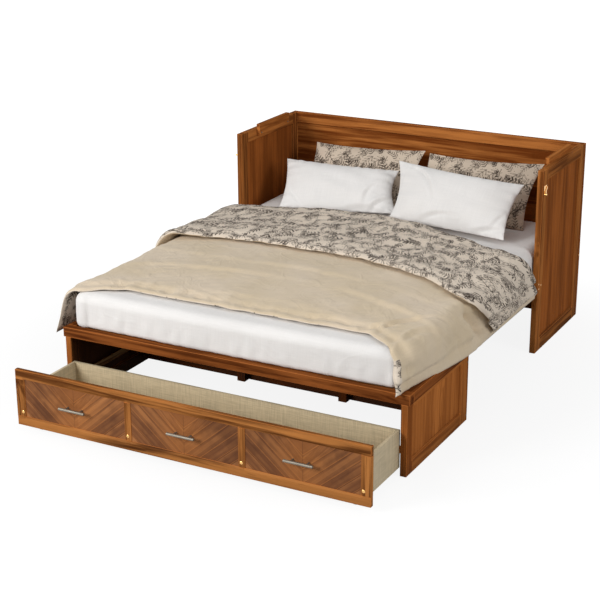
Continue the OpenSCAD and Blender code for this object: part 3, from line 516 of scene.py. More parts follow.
def edge_wear_and_highlight():
    """Rubbed edges of the boards: the side's light tone, rubbed paler in places, partly
    real wear and partly a painted highlight where the edges catch the light. It is made once."""
    if "arris" in bpy.data.materials:
        return bpy.data.materials["arris"]
    set_by = look("bed_wood")
    material, t, shader = blank("arris", Coat_Weight=0.03, Coat_Roughness=0.3,
                                Specular_IOR_Level=0.0)
    # Painted highlight and wear: the edges blend between two light tones
    rub_and_highlight = noise(t, place_of(t), 14.0, 3.0, 0.6)
    shade = blended(t, rub_and_highlight.ramp(0.40, 0.66), set_by.deep_light, set_by.arris)
    coat(t, shader, shade, rub_and_highlight.ramp(0.3, 0.7, 0.36, 0.5))
    return material


HALF_PANEL = 0.262      # width of half a panel of the drawer's front


def veneer(name, centres):
    """Chevron veneer: beside each panel's middle the strips rise outwards. With s the
    distance from the nearest of the centres, a strip's number is the whole part of
    (z cos a - s sin a) / width, and the grain runs along s cos a + z sin a. Haze darkens
    it in places, the middle is warmer, and seams are dark beside a thin painted glint,
    a painted highlight in the light tone."""
    set_by = look("bed_wood")
    material, t, shader = blank(name, Coat_Weight=0.05, Coat_Roughness=0.25,
                                Specular_IOR_Level=0.05)
    at = place_of(t)
    x, _, z = at.parts()
    s = (x - centres[0]).size()
    for c in centres[1:]:
        s = s.least((x - c).size())
    cosine, sine = math.cos(set_by.slant), math.sin(set_by.slant)
    across = (z * cosine - s * sine) / set_by.strip
    along = s * cosine + z * sine
    strip, in_strip = across.floor(), across.part()
    tone, _ = chance(t, joined(t, strip, (x / HALF_PANEL).floor(), 2.0))
    made = placed(t, grain_group(), Vector=joined(t, 0.0, across * set_by.strip, along),
                  Seed=strip * 1.7, Light=set_by.veneer_light, Dark=set_by.veneer_mid,
                  Gloss=set_by.gloss)
    haze = noise(t, at, 7.0, 3.0, 0.6).ramp(0.42, 0.68, 0.0, 0.55)
    seam = (in_strip - 0.5).size().ramp(0.485, 0.497)
    line = seam.most(s.ramp(0.0004, 0.0011, 1.0, 0.0))
    # Painted highlight: a thin glint of the light tone beside each seam
    painted_glint = (in_strip - 0.09).size().ramp(0.012, 0.030, 0.45, 0.0)
    shade = made["Color"]
    for share, other in ((tone * 0.30, set_by.veneer_dark), (haze, set_by.veneer_dark),
                         (s.ramp(0.0, 0.17, 0.30, 0.0), set_by.light),
                         (line * 0.6, set_by.veneer_dark), (painted_glint, set_by.light)):
        shade = blended(t, share, shade, other)
    coat(t, shader, shade, made["Rough"], made["Height"] - line * 0.8, 0.0005)
    return material


def laminate():
    """Linen-look laminate of the drawer box, in both sets of threads."""
    linen = look("bed_wood").linen
    material, t, shader = blank("linen_laminate", Roughness=0.6)
    at = place_of(t).parts()
    threads = (noise(t, along_grain(t, *at, (12.0, 420.0)), 1.0, 2.0)
               + noise(t, along_grain(t, *at, (420.0, 12.0)), 1.0, 2.0))
    shade = blended(t, threads.ramp(0.75, 1.25), tuple(c * 0.72 for c in linen), linen)
    coat(t, shader, shade, height=threads, metres=0.0003)
    return material


def brushed(name, shade, rough, along="x"):
    """Metal with fine scratches along one axis and slow clouds in its polish."""
    material, t, shader = blank(name, Metallic=1.0)
    at = place_of(t)
    waves = [18.0 if axis == along else 900.0 for axis in AXES]
    scratches = joined(t, *(part * wave for part, wave in zip(at.parts(), waves)))
    lines = noise(t, scratches, 1.0, 2.0)
    slow = noise(t, at, 30.0, 2.0)
    tarnish = blended(t, slow.ramp(0.45, 0.8, 0.0, 0.35), shade, tuple(c * 0.5 for c in shade))
    coat(t, shader, tarnish, lines.ramp(0.3, 0.7, rough - 0.08, rough + 0.10), lines, 0.00012)
    return material


def moulded():
    """Black moulded plastic with a fine texture and scuffs."""
    material, t, shader = blank("caster_black")
    at = place_of(t)
    scuff = noise(t, at, 60.0, 3.0, 0.7)
    shade = blended(t, scuff.ramp(0.6, 0.75, 0.0, 0.4), look("bed_metal").black,
                    tint(86, 80, 74))
    coat(t, shader, shade, scuff.ramp(0.3, 0.7, 0.45, 0.65), noise(t, at, 900.0, 2.0), 0.0002)
    return material


def cloth(name, shade, other, creased, sheen=0.15):
    """Woven cotton on the piece's own UV map, in metres: two tones in slow clouds, the
    threads, and soft creases. It gives the material and what a print needs: its tree,
    shader, UV wire and colour wire."""
    material, t, shader = blank(name, Roughness=0.88, Sheen_Weight=sheen,
                                Sheen_Roughness=0.6, Specular_IOR_Level=0.25)
    uv = place_of(t, "UV")
    weave = placed(t, weave_group(), Vector=uv, Pitch=look("bed_cloth").thread)
    creases = placed(t, crease_group(), Vector=place_of(t))
    clouds = noise(t, uv, 3.2, 2.0, 0.5)
    mixed = blended(t, clouds.ramp(0.35, 0.68), shade, other)
    threads = blended(t, weave["Tone"].ramp(-1.0, 1.0, 0.0, 0.10), mixed,
                      tuple(c * 0.6 for c in shade))
    coat(t, shader, threads, height=weave["Height"] * 0.00022 + creases["Height"] * creased)
    return material, t, shader, uv, threads


def white_cloth(name, shade):
    return cloth(name, shade, tuple(c * 0.96 for c in shade), 0.3)[0]


# Size of each layer of sprigs, as a share of the whole size, and its place in the pattern
LAYERS = ((1.0, 0.0), (0.84, 3.3), (0.72, 7.9), (0.62, 5.1), (0.92, 12.7))
SPRIG_TALL = 1.2


def printed_cloth(name, tone=1.0):
    """Pale cotton with layers of leaf sprigs, each of another size and a fifth longer than
    wide. A tone below 1 paints shade into its ground, darker and warmer, as on the shams
    that lie in shade at the back of the bed."""
    set_by = look("bed_cloth")
    # Painted shade: a tone below 1 darkens and warms the ground
    ground = tuple(c * t for c, t in zip(set_by.ground, (tone, tone ** 1.3, tone ** 1.6)))
    material, t, shader, uv, base = cloth(name, ground, tuple(c * 1.08 for c in ground),
                                          1.0, sheen=0.03)
    u, v, _ = uv.parts()
    stretched = joined(t, u, v / SPRIG_TALL, 0.0)
    inks = [placed(t, sprig_group(), Vector=stretched, Cell=set_by.sprig * cell,
                   Shift=shift)["Ink"] for cell, shift in LAYERS]
    ink = inks[0]
    for layer in inks[1:]:
        ink = ink.most(layer)
    patchy = noise(t, uv, 30.0, 2.0).ramp(0.3, 0.6, 0.66, 1.0)
    feed(t, shader.inputs["Base Color"], blended(t, ink * patchy, base, set_by.ink))
    return material


# ---------------------------------------------------------------- surfaces

def surface(name, points, uv):
    """Mesh of quads over a (rows, columns, 3) array of points, its UV map in metres."""
    rows, columns = points.shape[:2]
    index = np.arange(rows * columns).reshape(rows, columns)
    quads = np.stack([index[:-1, :-1], index[1:, :-1], index[1:, 1:], index[:-1, 1:]],
                     axis=-1).reshape(-1, 4)
    mesh = bpy.data.meshes.new(name)
    mesh.from_pydata(points.reshape(-1, 3), [], quads)
    layer = mesh.uv_layers.new(name="UVMap")
    corners = uv.reshape(-1, 2)[quads.reshape(-1)]
    layer.data.foreach_set("uv", corners.astype(np.float32).ravel())
    mesh.polygons.foreach_set("use_smooth", np.ones(len(quads), bool))
    piece = bpy.data.objects.new(name, mesh)
    bpy.context.collection.objects.link(piece)
    return piece


def join(pieces):
    """Joins the meshes of several pieces into the first."""
    with bpy.context.temp_override(active_object=pieces[0], object=pieces[0],
                                   selected_objects=pieces, selected_editable_objects=pieces):
        bpy.ops.object.join()


def weld(piece, near=2e-5):
    """Merges doubled points and turns the faces outwards."""
    shape = bmesh.new()
    shape.from_mesh(piece.data)
    bmesh.ops.remove_doubles(shape, verts=shape.verts, dist=near)
    bmesh.ops.dissolve_degenerate(shape, edges=shape.edges, dist=1e-7)
    bmesh.ops.recalc_face_normals(shape, faces=shape.faces)
    shape.to_mesh(piece.data)
    shape.free()


def ripple(a, b, wave, count, seed):
    """Mean of count sine waves in random directions, each of about the given wavelength:
    sum of sin(2 pi (a cos c + b sin c) / w + p) / sqrt(count)."""
    dice = np.random.default_rng(seed)
    turn = dice.uniform(0, 2 * np.pi, count)
    size = wave * dice.uniform(0.7, 1.4, count)
    phase = dice.uniform(0, 2 * np.pi, count)
    a, b = np.asarray(a)[..., None], np.asarray(b)[..., None]
    waves = np.sin(2 * np.pi * (a * np.cos(turn) + b * np.sin(turn)) / size + phase)
    return waves.sum(-1) / np.sqrt(count)


def smooth(x, low, high):
    """Smooth step: 0 below low, 1 above high, 3 t^2 - 2 t^3 between."""
    t = np.clip((x - low) / (high - low), 0, 1)
    return t * t * (3 - 2 * t)


def bell(x, middle, width):
    """exp(-((x - middle) / width)^2): 1 in the middle, fading on both sides."""
    return np.exp(-((x - middle) / width) ** 2)


def crease(dx, dy, turn, reach, depth, width):
    """A bent fold through the origin: a ridge beside a valley, fading along its length.

    With s along the direction turn and e across it plus s^2 / (4 reach), the height is
    depth exp(-(s / reach)^2) (exp(-((e - w) / w)^2) - 1.5 exp(-(e / 0.6 w)^2))."""
    c, s = math.cos(turn), math.sin(turn)
    along, off = dx * c + dy * s, -dx * s + dy * c
    off = off + 0.25 * along ** 2 / reach
    return depth * bell(along, 0, reach) * (
        bell(off, width, width) - 1.5 * bell(off, 0, 0.6 * width))


def round_edge(distance, width):
    """Quarter ellipse: 0 at an edge, 1 from width inwards."""
    t = np.clip(distance / width, 0, 1)
    return np.sqrt(1 - (1 - t) ** 2)


# ---------------------------------------------------------------- mattress

SLACK = 0.004                   # between a foam section and the box of its solid
PLAN_R, EDGE_R = 0.048, 0.045   # rounding of the mattress in plan and along its edges
# The sheet: its thickness, how far its top lies inside the solids' box, the rounding of its
# lower edge, and how far it is tucked under
SHEET, SHEET_IN, SHEET_LOW_R, TUCK = 0.0008, 0.0015, 0.018, 0.040


def box_wrap(low, high, plan_r, edge_r, low_r, tuck, pitch):
    """Cloth wrapped over a box with rounded corners, as arrays.

    A point of the cloth is an inner part, inside the top's corner centres, and an
    overflow (e, f) past it. L = max(|e|, |f|) is how far it lies out, and its direction
    is (e, f) / |(e, f)|, so that the corners are quarter fans. Along L the profile runs
    flat, round the edge radius, down the side, round the lower radius and under by tuck.
    It gives points, normals, UV, run, direction, area, flat size and the profile's ends."""
    straight = high[2] - low[2] - edge_r - low_r
    flat = plan_r - edge_r
    ends = np.cumsum([flat, edge_r * np.pi / 2, straight, low_r * np.pi / 2, tuck])
    total = ends[-1]

    def profile(run):
        """Outward reach, drop and tilt at a run along the profile."""
        over = np.clip((run - ends[0]) / edge_r, 0, np.pi / 2)
        under = np.clip((run - ends[2]) / low_r, 0, np.pi / 2)
        reach = (np.minimum(run, ends[0]) + edge_r * np.sin(over)
                 - low_r * (1 - np.cos(under)) - np.maximum(run - ends[3], 0))
        drop = (edge_r * (1 - np.cos(over)) + np.clip(run - ends[1], 0, straight)
                + low_r * np.sin(under))
        return reach, drop, over + under

    def line(lo, hi):
        """Inner coordinate and overflow of the grid lines across one direction."""
        inner = np.arange(round((hi - lo - 2 * plan_r) / pitch) + 1)
        inner = lo + plan_r + inner / inner[-1] * (hi - lo - 2 * plan_r)
        out = np.linspace(0, total, int(total / (pitch * 0.5)) + 2)[1:]
        core = np.concatenate([np.full(len(out), inner[0]), inner, np.full(len(out), inner[-1])])
        over = np.concatenate([-out[::-1], np.zeros(len(inner)), out])
        return core, over

    (cx, ex), (cy, ey) = line(low[0], high[0]), line(low[1], high[1])
    cx, cy = np.meshgrid(cx, cy, indexing="ij")
    ex, ey = np.meshgrid(ex, ey, indexing="ij")
    run = np.maximum(np.abs(ex), np.abs(ey))
    size = np.hypot(ex, ey) + 1e-12
    out = np.stack([ex / size, ey / size], -1)
    reach, drop, tilt = profile(run)
    points = np.stack([cx + out[..., 0] * reach, cy + out[..., 1] * reach, high[2] - drop], -1)
    normal = np.stack([out[..., 0] * np.sin(tilt), out[..., 1] * np.sin(tilt), np.cos(tilt)], -1)
    uv = np.stack([cx + ex, cy + ey], -1)
    inner_x, inner_y = high[0] - low[0] - 2 * plan_r, high[1] - low[1] - 2 * plan_r
    steps = np.linspace(0, total, 400)
    fans = float(profile(steps)[0].mean() * total) * 2 * np.pi
    area = inner_x * inner_y + 2 * (inner_x + inner_y) * total + fans
    return points, normal, uv, run, out, area, (inner_x + 2 * total, inner_y + 2 * total), ends


def mattress_section(name, material):
    """One foam section: the box wrap down to half height, and its mirror image below."""
    low, high = (np.array(c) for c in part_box(name))
    low, high = low + SLACK, high - SLACK
    middle = (low[2] + high[2]) / 2
    upper, _, uv, *_ = box_wrap(low, high, PLAN_R, EDGE_R, EDGE_R, tuck=0.0, pitch=0.03)
    upper[..., 2] = np.maximum(upper[..., 2], middle)
    lower = upper.copy()
    lower[..., 2] = 2 * middle - lower[..., 2]
    piece = surface(name + "_core", upper, uv)
    join([piece, surface("under", lower[::-1], uv[::-1])])
    weld(piece, 1e-4)
    piece.data.materials.append(material)
    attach(piece, "bedding")
    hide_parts(name)


def stuffed(points, out, run, ends, low, high, shape):
    """How far the sheet stands out along its normal: a bulge in the middle of the foot,
    sides that are fuller on the left near the foot, short drapes above the lower edge,
    and slow waves all over."""
    x, y, z = np.moveaxis(points, -1, 0)
    side = smooth(run, ends[0], ends[1]) * (1 - smooth(run, ends[2], ends[3]))
    half = (high[0] - low[0]) / 2
    middle = np.clip(1 - (x / half) ** 2, 0, 1)
    foot = shape.sheet_bulge * middle * np.maximum(-out[..., 1], 0)
    left = smooth(-x, 0.3, 0.7)
    fuller = smooth(-y, 1.3, 1.9) * (0.020 * left - 0.010 * (1 - left))
    wall = (shape.side_bulge + fuller) * np.abs(out[..., 0])
    drapes = (0.0012 * ripple(x + y * 0.7, z * 0.25, 0.16, 7, 3)
              + 0.0030 * ripple(x + y, z * 0.15, 0.055, 7, 4) * bell(z, low[2] + 0.045, 0.035))
    return side * (foot + wall + drapes) + 0.0006 * ripple(x, y, 0.34, 8, 11)


# ---------------------------------------------------------------- operators on the frame

class BedOperator:
    """What the bed's operators share."""
    bl_options = {"REGISTER", "UNDO"}


def finish(names, material, edge=None):
    """Gives CAD nodes a material, welded and with rubbed edges where edge is given; the edge
    material is rubbed wear with a painted highlight.
    """
    for name in names.split():
        node = NODES[name]
        node.data.materials.clear()
        node.data.materials.append(material)
        if edge:
            node.data.materials.append(edge)
            welded = node.modifiers.new("weld", "WELD")
            welded.merge_threshold = 1e-5
            bevel = node.modifiers.new("arris", "BEVEL")
            bevel.width = look("bed_wood").edge
            bevel.segments = 2
            bevel.limit_method = "ANGLE"
            bevel.angle_limit = math.radians(40)
            # the bevel's faces take the edge material, with its painted highlight
            bevel.material = 1
            bevel.use_clamp_overlap = True


TONGUE = 0.005      # how far a board goes into its grooves


def rails_of(panel, across, up):
    """Where a frame's opening lies, from the board that stands in its grooves."""
    low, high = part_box(panel)
    a, u = AXES[across], AXES[up]
    return low[u] + TONGUE, high[u] - TONGUE, low[a] + TONGUE, high[a] - TONGUE


class BED_OT_cabinet(BedOperator, bpy.types.Operator):
    """Finishes the cabinet: side frames, boards, back, cleats and ledgers"""
    bl_idname = "wall_bed.cabinet"
    bl_label = "Cabinet"

    def execute(self, context):
        tones, edge = look("bed_wood"), edge_wear_and_highlight()
        side = rails_of("left_side_panel", "y", "z")
        finish("left_side_frame right_side_frame",
               wood("side_frames", "xyz", side, tones.light, tones.deep_dark, calm=0.30), edge)
        finish("left_side_panel right_side_panel",
               wood("side_boards", "xyz", light=tones.deep_light, dark=tones.deep_dark,
                    planks=0.075, calm=0.55))
        back = rails_of("back_boards", "x", "z")
        finish("back_frame", wood("back_rails", "yxz", back), edge)
        finish("back_boards", wood("back_boards", "yzx", planks=0.42))
        finish("lid_cleats", wood("cleats", "xzy"), edge)
        finish("head_ledgers", wood("ledgers", "xzy", light=tones.bare), edge)
        return {"FINISHED"}


RAIL = 0.04         # width of the platform's rails


class BED_OT_platform(BedOperator, bpy.types.Operator):
    """Finishes the folding platform: its frames and slats"""
    bl_idname = "wall_bed.platform"
    bl_label = "Platform"

    def execute(self, context):
        tones, edge = look("bed_wood"), edge_wear_and_highlight()
        for part, light, dark in (("head_deck", tones.bare, tones.dark),
                                  ("leaf_a", tones.deep_light, tones.deep_dark),
                                  ("leaf_b", tones.deep_light, tones.deep_dark),
                                  ("foot_deck", tones.rail_light, tones.deep_dark)):
            low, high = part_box(part + "_frame")
            ends = (low[0] + RAIL, high[0] - RAIL) if part != "foot_deck" else (-FAR, FAR)
            limits = (low[1] + RAIL, high[1] - RAIL, *ends)
            finish(part + "_frame", wood(part + "_rails", "zxy", limits, light, dark), edge)
        finish("head_slats leaf_a_slats leaf_b_slats foot_slats",
               wood("slats", "zyx", light=tones.bare, pitch=0.09), edge)
        return {"FINISHED"}


SHADE_IN = 0.004        # how far past the frames' inner faces the painted shade of the base's inside reaches
BOARD_BACK = 0.012      # how far the boards' inner faces lie behind the frames'
PALER = 1.25            # the boards' light tone beside the frames'


class BED_OT_base(BedOperator, bpy.types.Operator):
    """Finishes the foot base: side frames, boards, cross board, legs and guides"""
    bl_idname = "wall_bed.base"
    bl_label = "Foot base"

    def execute(self, context):
        tones, edge = look("bed_wood"), edge_wear_and_highlight()
        side = rails_of("base_left_panel", "y", "z")
        frame_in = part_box("base_right_frame")[0][0] + SHADE_IN
        board_in = frame_in + BOARD_BACK
        # inside paints shade on the inner faces of the base's frames and boards
        finish("base_left_frame base_right_frame",
               wood("base_frames", "xyz", side, inside=frame_in, calm=0.30), edge)
        finish("base_left_panel base_right_panel",
               wood("base_boards", "xyz", light=[c * PALER for c in tones.light],
                    planks=0.06, inside=board_in, calm=0.55))
        # The cross board's dark tone is painted shade, for the shade it stands in under the
        # platform
        finish("base_back_board", wood("cross_board", "yzx", light=tones.veneer_dark), edge)
        finish("support_legs", wood("legs", "xyz", light=tones.veneer_dark), edge)
        finish("drawer_guides", wood("guides", "xzy", light=tones.bare), edge)
        return {"FINISHED"}


OUTER_PANEL = 0.286     # distance of an outer panel's inner edge from the drawer's middle


class BED_OT_drawer(BedOperator, bpy.types.Operator):
    """Finishes the drawer: front frame, chevron veneer and linen-look box"""
    bl_idname = "wall_bed.drawer"
    bl_label = "Drawer"

    def execute(self, context):
        tones = look("bed_wood")
        low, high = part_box("drawer_front_panels")
        limits = (low[2] + TONGUE, high[2] - TONGUE, -FAR, FAR)
        finish("drawer_front_frame", wood("front_frame", "yxz", limits, tones.front_light,
                                          tones.front_dark), edge_wear_and_highlight())
        outer = (high[0] + OUTER_PANEL) / 2
        finish("drawer_front_panels", veneer("chevron", [-outer, 0.0, outer]))
        finish("drawer_inner_front drawer_sides drawer_back drawer_bottom", laminate())
        return {"FINISHED"}


class BED_OT_metal(BedOperator, bpy.types.Operator):
    """Finishes handles, studs, bolts, latches, hinges and casters"""
    bl_idname = "wall_bed.metal"
    bl_label = "Metal and casters"

    def execute(self, context):
        set_by = look("bed_metal")
        nickel = brushed("satin_nickel", tuple(set_by.nickel), set_by.nickel_rough)
        brass = brushed("polished_brass", tuple(set_by.brass), set_by.brass_rough, "z")
        steel = brushed("zinc_steel", tuple(set_by.steel), set_by.steel_rough)
        finish("drawer_handles cleat_bolts base_bolts", nickel)
        finish("drawer_studs cabinet_bolts latch_plates latch_lever_left latch_lever_right", brass)
        finish("head_hinge_plates head_hinge_pins leaf_a_hinge_plates ridge_hinge_pins "
               "leaf_b_hinge_plates foot_hinge_plates foot_hinge_pins caster_axles", steel)
        finish("caster_brackets caster_wheel_front_left caster_wheel_front_right "
               "caster_wheel_rear_left caster_wheel_rear_right", moulded())
        return {"FINISHED"}


class BED_OT_mattress(BedOperator, bpy.types.Operator):
    """Makes the three mattress sections and the fitted sheet over them"""
    bl_idname = "wall_bed.mattress"
    bl_label = "Mattress"

    def execute(self, context):
        set_by = look("bed_cloth")
        ticking = white_cloth("ticking", tuple(set_by.ticking))
        sections = ["mattress_head", "mattress_middle", "mattress_foot"]
        for name in sections:
            mattress_section(name, ticking)
        low, high = np.array(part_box("mattress_foot")[0]), np.array(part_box("mattress_head")[1])
        high[2] -= SHEET_IN
        points, normal, uv, run, out, area, flat, ends = box_wrap(
            low, high, PLAN_R, EDGE_R, SHEET_LOW_R, TUCK, pitch=0.016)
        push = stuffed(points, out, run, ends, low, high, look("bed_shape"))
        sheet = surface("fitted_sheet", points + normal * push[..., None], uv)
        sheet.data.materials.append(white_cloth("sheet_cotton", tuple(set_by.white)))
        cotton = sheet.modifiers.new("cloth", "SOLIDIFY")
        cotton.thickness, cotton.offset = SHEET, -1.0
        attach(sheet, "bedding")
        min(area, flat[0] * flat[1])
        return {"FINISHED"}


# ---------------------------------------------------------------- duvet

# Half the mattress's width, half the duvet's along the cloth, and the mattress's top
MATTRESS_X, HALF, MATTRESS_Z = 0.774, 0.984, 0.5163
# Reach of the fold at the head past its line, outside and inside, the gap under the duvet,
# and its least thickness
NOSE, NOSE_IN, GAP, LEAST = 0.024, 0.004, 0.001, 0.004
# Where the duvet's three lines across the bed lie in its middle. The lines, by distance q
# from the middle of the cloth, repeat the part's own.
HEAD_Y, HEM_Y, FOOT_Y = -0.56, -1.212, -2.007
# Points from the middle to one side, and along the lower layer, the fold and the upper one
HALF_COLUMNS, LOW_ROWS, TURN_ROWS, UP_ROWS = 96, 110, 9, 46
# Share of the turned-back layer that stays full along its hem's border
HEM_SHARE = 0.42
# The printed side shows as a lip this wide along the foot edge, right of this distance
LIP_WIDE, LIP_FROM = 0.016, 0.80
# Soft ridges across the duvet: y in its middle, curvature left and right, share of height
BANDS = [(-1.440, 0.05, 0.28, 0.7), (-1.590, 0.26, 0.40, 1.0), (-1.862, 0.28, 0.36, 0.7)]
# Folds near the foot edge, the right corner and the turned-back hem: q, y, direction,
# reach, depth, width
FOLDS = [(0.66, -1.86, 1.10, 0.16, 0.010, 0.016), (0.56, -1.97, 0.80, 0.12, 0.009, 0.016),
         (0.76, -1.93, 1.35, 0.14, 0.008, 0.016), (0.30, -1.94, 0.35, 0.10, 0.006, 0.014),
         (-0.28, -1.93, -0.30, 0.12, 0.006, 0.014), (-0.62, -1.98, -0.60, 0.10, 0.007, 0.014),
         (0.86, -1.52, 3.0, 0.09, 0.014, 0.030)]


def head_line(q):
    """y of the edge where the duvet is folded back: a V with its tip rounded off."""
    on_top = np.clip(q, -MATTRESS_X, MATTRESS_X)
    d = on_top + 0.06
    slope = np.where(d < 0, 0.33, 0.52)
    fall = slope * (np.sqrt(d * d + 0.09) - 0.3)
    return HEAD_Y - fall + np.where(q < 0, -1.2, 0.50) * (np.abs(q) - np.abs(on_top))


def foot_line(q):
    """y of the duvet's foot edge: straight in the middle, forward at the corners."""
    a = np.minimum(np.abs(q), MATTRESS_X)
    left = q < 0
    slope, hang = np.where(left, 0.50, 0.66), np.where(left, 0.2, 0.25)
    return FOOT_Y - slope * np.maximum(0, a - 0.59) - hang * (np.abs(q) - a)


def hem_line(q):
    """y of the turned-back hem: straight left of the middle, falling off on both sides;
    on the right hang it runs back towards the head."""
    a = np.minimum(np.abs(q), MATTRESS_X)
    left = q < 0
    slope, flat = np.where(left, 0.45, 0.33), np.where(left, 0.54, 0.18)
    dip = np.where(left, 0.0, 0.42 * np.maximum(0, a - 0.54))
    return (HEM_Y - slope * np.maximum(0, a - flat) - dip
            + np.where(left, -0.45, 0.80) * (np.abs(q) - a))


def flange(distance, seam):
    """Share of the full thickness: a thin border as far as the sewn line, full past it."""
    return 0.52 * round_edge(distance, 0.014) + 0.48 * round_edge(distance - seam, 0.034)


def groove(distance, seam):
    """Depth of the sewn line's dent: d exp(-((x - seam) / w)^2)."""
    return 0.0060 * bell(distance, seam, 0.008)


def over_edge(q, y, h):
    """The duvet's cross-section: flat to the bend, an arc, then a straight hang.

    The turn at distance q is min((|q| - bend) / r, limit); the inner face is the arc's
    point plus the rest of the length along (cos, -sin) of the limit, and h is added
    along the outward normal (sin turn, cos turn). The left side bulges out further over
    the mattress, and the right side drops steeper and shorter towards its foot corner,
    where it stands on the platform and its edge wraps round the mattress."""
    a = np.abs(q)
    left = q < 0
    corner = smooth(-y, 1.55, 2.12)
    bend = np.where(left, 0.764 + 0.022 * smooth(-y, 1.85, 2.08), 0.762 - 0.012 * corner)
    radius = np.where(left, 0.060, 0.050)
    limit = np.radians(np.where(left, 78.0, 74.0 + 13.0 * corner))
    turn = np.clip((a - bend) / radius, 0, limit)
    rest = np.maximum(a - bend - radius * limit, 0) * (
        1 + np.where(left, 0.28, -0.28) * corner)
    x = np.minimum(a, bend) + radius * np.sin(turn) + rest * np.cos(limit)
    z = -radius * (1 - np.cos(turn)) - rest * np.sin(limit)
    wrap = smooth(-y, 2.00, 2.15) * smooth(q, 0.68, 0.80) * (1 - 0.55 * smooth(q, 0.84, 0.96))
    x, y = x - 0.036 * wrap, y - 0.006 * wrap
    return np.stack([np.sign(q) * (x + h * np.sin(turn)), y, MATTRESS_Z + z + h * np.cos(turn)], -1)


def duvet_top(q, y, shape):
    """Height of the lower layer's top face over the mattress.

    The layer's thickness, plus the soft ridges of BANDS, long folds that grow in the
    hanging parts, and small ripples. A ridge lies along y0 - c q^2, rises steeply on its
    foot side and falls off towards the head: h s(d) exp(-d / 0.14) at distance d."""
    hang = smooth(np.abs(q), 0.72, HALF)
    bent = y + 0.010 * ripple(q, y, 0.5, 5, 7)
    bands = 0
    for y0, left, right, height in BANDS:
        d = bent - y0 + np.where(q < 0, left, right) * np.minimum(q ** 2, 0.75)
        uneven = np.clip(0.75 + 0.45 * ripple(q, q * 0, 0.7, 4, int(-y0 * 1000)), 0.15, 1.3)
        bands = bands + height * shape.band_h * uneven * smooth(d, -0.014, 0.024) * np.exp(
            -np.maximum(d, 0) / 0.14)
    bands = bands * (1 - 0.6 * smooth(-q, 0.66, 0.80))
    folds = 0.008 * hang * np.sin(2 * np.pi * (y + 0.10 * np.abs(q)) / 0.36 + 1.0)
    small = 0.0020 * ripple(q, y, 0.22, 9, 5) + 0.0010 * ripple(q, y, 0.07, 9, 6)
    for at_q, at_y, *fold in FOLDS:
        small = small + crease(q - at_q, y - at_y, *fold)
    return shape.loft - 0.006 + bands + folds + small


def repeated(column, count):
    """One column of numbers, count times side by side."""
    return np.repeat(column[:, None], count, 1)


def lower_layer(q, foot, head, hem, shape):
    """The layer on the mattress, from the foot edge to the fold, as its grid (q, y) and
    the heights of its upper and lower faces.

    The upper face is the top's height, thin along the border and dented at the sewn line,
    with puckers inside the seams, a raised right corner, and a valley on the right where
    the turned-back hem presses. The foot edge gapes a little."""
    seam = shape.hem_seam
    q = repeated(q, LOW_ROWS)
    y = foot[:, None] + (head - NOSE - foot)[:, None] * np.linspace(0, 1, LOW_ROWS) ** 0.92
    to_foot, to_side = y - foot[:, None], HALF - np.abs(q)
    thin = flange(to_side, seam)
    valley = (0.056 * bell(y, hem[:, None] - 0.048, 0.050)
              * smooth(q, 0.77, 0.84) * (1 - smooth(q, 0.90, 0.95)))
    corner = 0.016 * smooth(q, 0.78, 0.86) * bell(to_foot, 0, 0.07)
    pucker = (0.0040 * bell(to_foot, 0.06, 0.04) * ripple(q, y * 0.3, 0.085, 6, 31)
              + 0.0016 * bell(to_side, 0.05, 0.035) * ripple(q * 0.3, y, 0.075, 6, 33))
    puffed = duvet_top(q, y, shape) - groove(to_foot, seam) - groove(to_side, seam)
    lift = puffed * (0.10 + 0.90 * flange(to_foot, seam)) + corner - valley
    sunk = np.minimum(lift, 0) * thin
    gape = 0.009 * bell(to_foot, 0, 0.030) * (1 - smooth(np.abs(q), 0.66, 0.76))
    upper = GAP + np.maximum(lift + pucker, LEAST) * thin + sunk + gape
    lower = GAP + sunk - LEAST * (sunk < 0) + gape
    return q, y, upper, lower


def upper_layer(q, head, hem, shape):
    """The layer turned back over it, from the fold to the hem, as its grid (q, y) and the
    heights of its lower and upper faces.

    It lies on the lower layer's top, lifted near the hem on both sides, with a roll and
    waves beside the hem's sewn line."""
    seam = shape.hem_seam
    to_side = (HALF - 0.004 - np.abs(q))[:, None]
    y = (head - NOSE)[:, None] + (hem - head + NOSE)[:, None] * np.linspace(0, 1, UP_ROWS)
    q = repeated(q * narrowing(q), UP_ROWS)
    to_hem = y - hem[:, None]
    thin, puff = flange(to_side, seam), flange(to_hem, seam)
    rise = 0.004 + (0.016 * smooth(-q, 0.62, 0.80)
                    + 0.012 * smooth(q, 0.76, 0.88)) * bell(to_hem, 0, 0.13)
    roll = 0.010 * bell(to_hem, 0.030, 0.026)
    waves = (0.0036 * ripple(q, y, 0.26, 9, 41) + 0.0014 * ripple(q, y, 0.10, 9, 42)
             + 0.0030 * bell(to_hem, 0.045, 0.05) * ripple(q, y * 0.25, 0.12, 6, 43))
    full = shape.fold_loft + roll + waves - groove(to_hem, seam) - groove(to_side, seam)
    under = GAP + duvet_top(q, y, shape) * thin + rise
    lower = under + HEM_SHARE * full * (1 - puff) * thin
    upper = under + full * (HEM_SHARE + (1 - HEM_SHARE) * puff) * thin + 0.0006
    return q, y, lower, upper


def narrowing(q):
    """Share of its width that the turned-back layer keeps: a little less on the right."""
    return 1 - np.where(q > 0, 0.020, 0.0) * smooth(np.abs(q), 0.7, HALF)


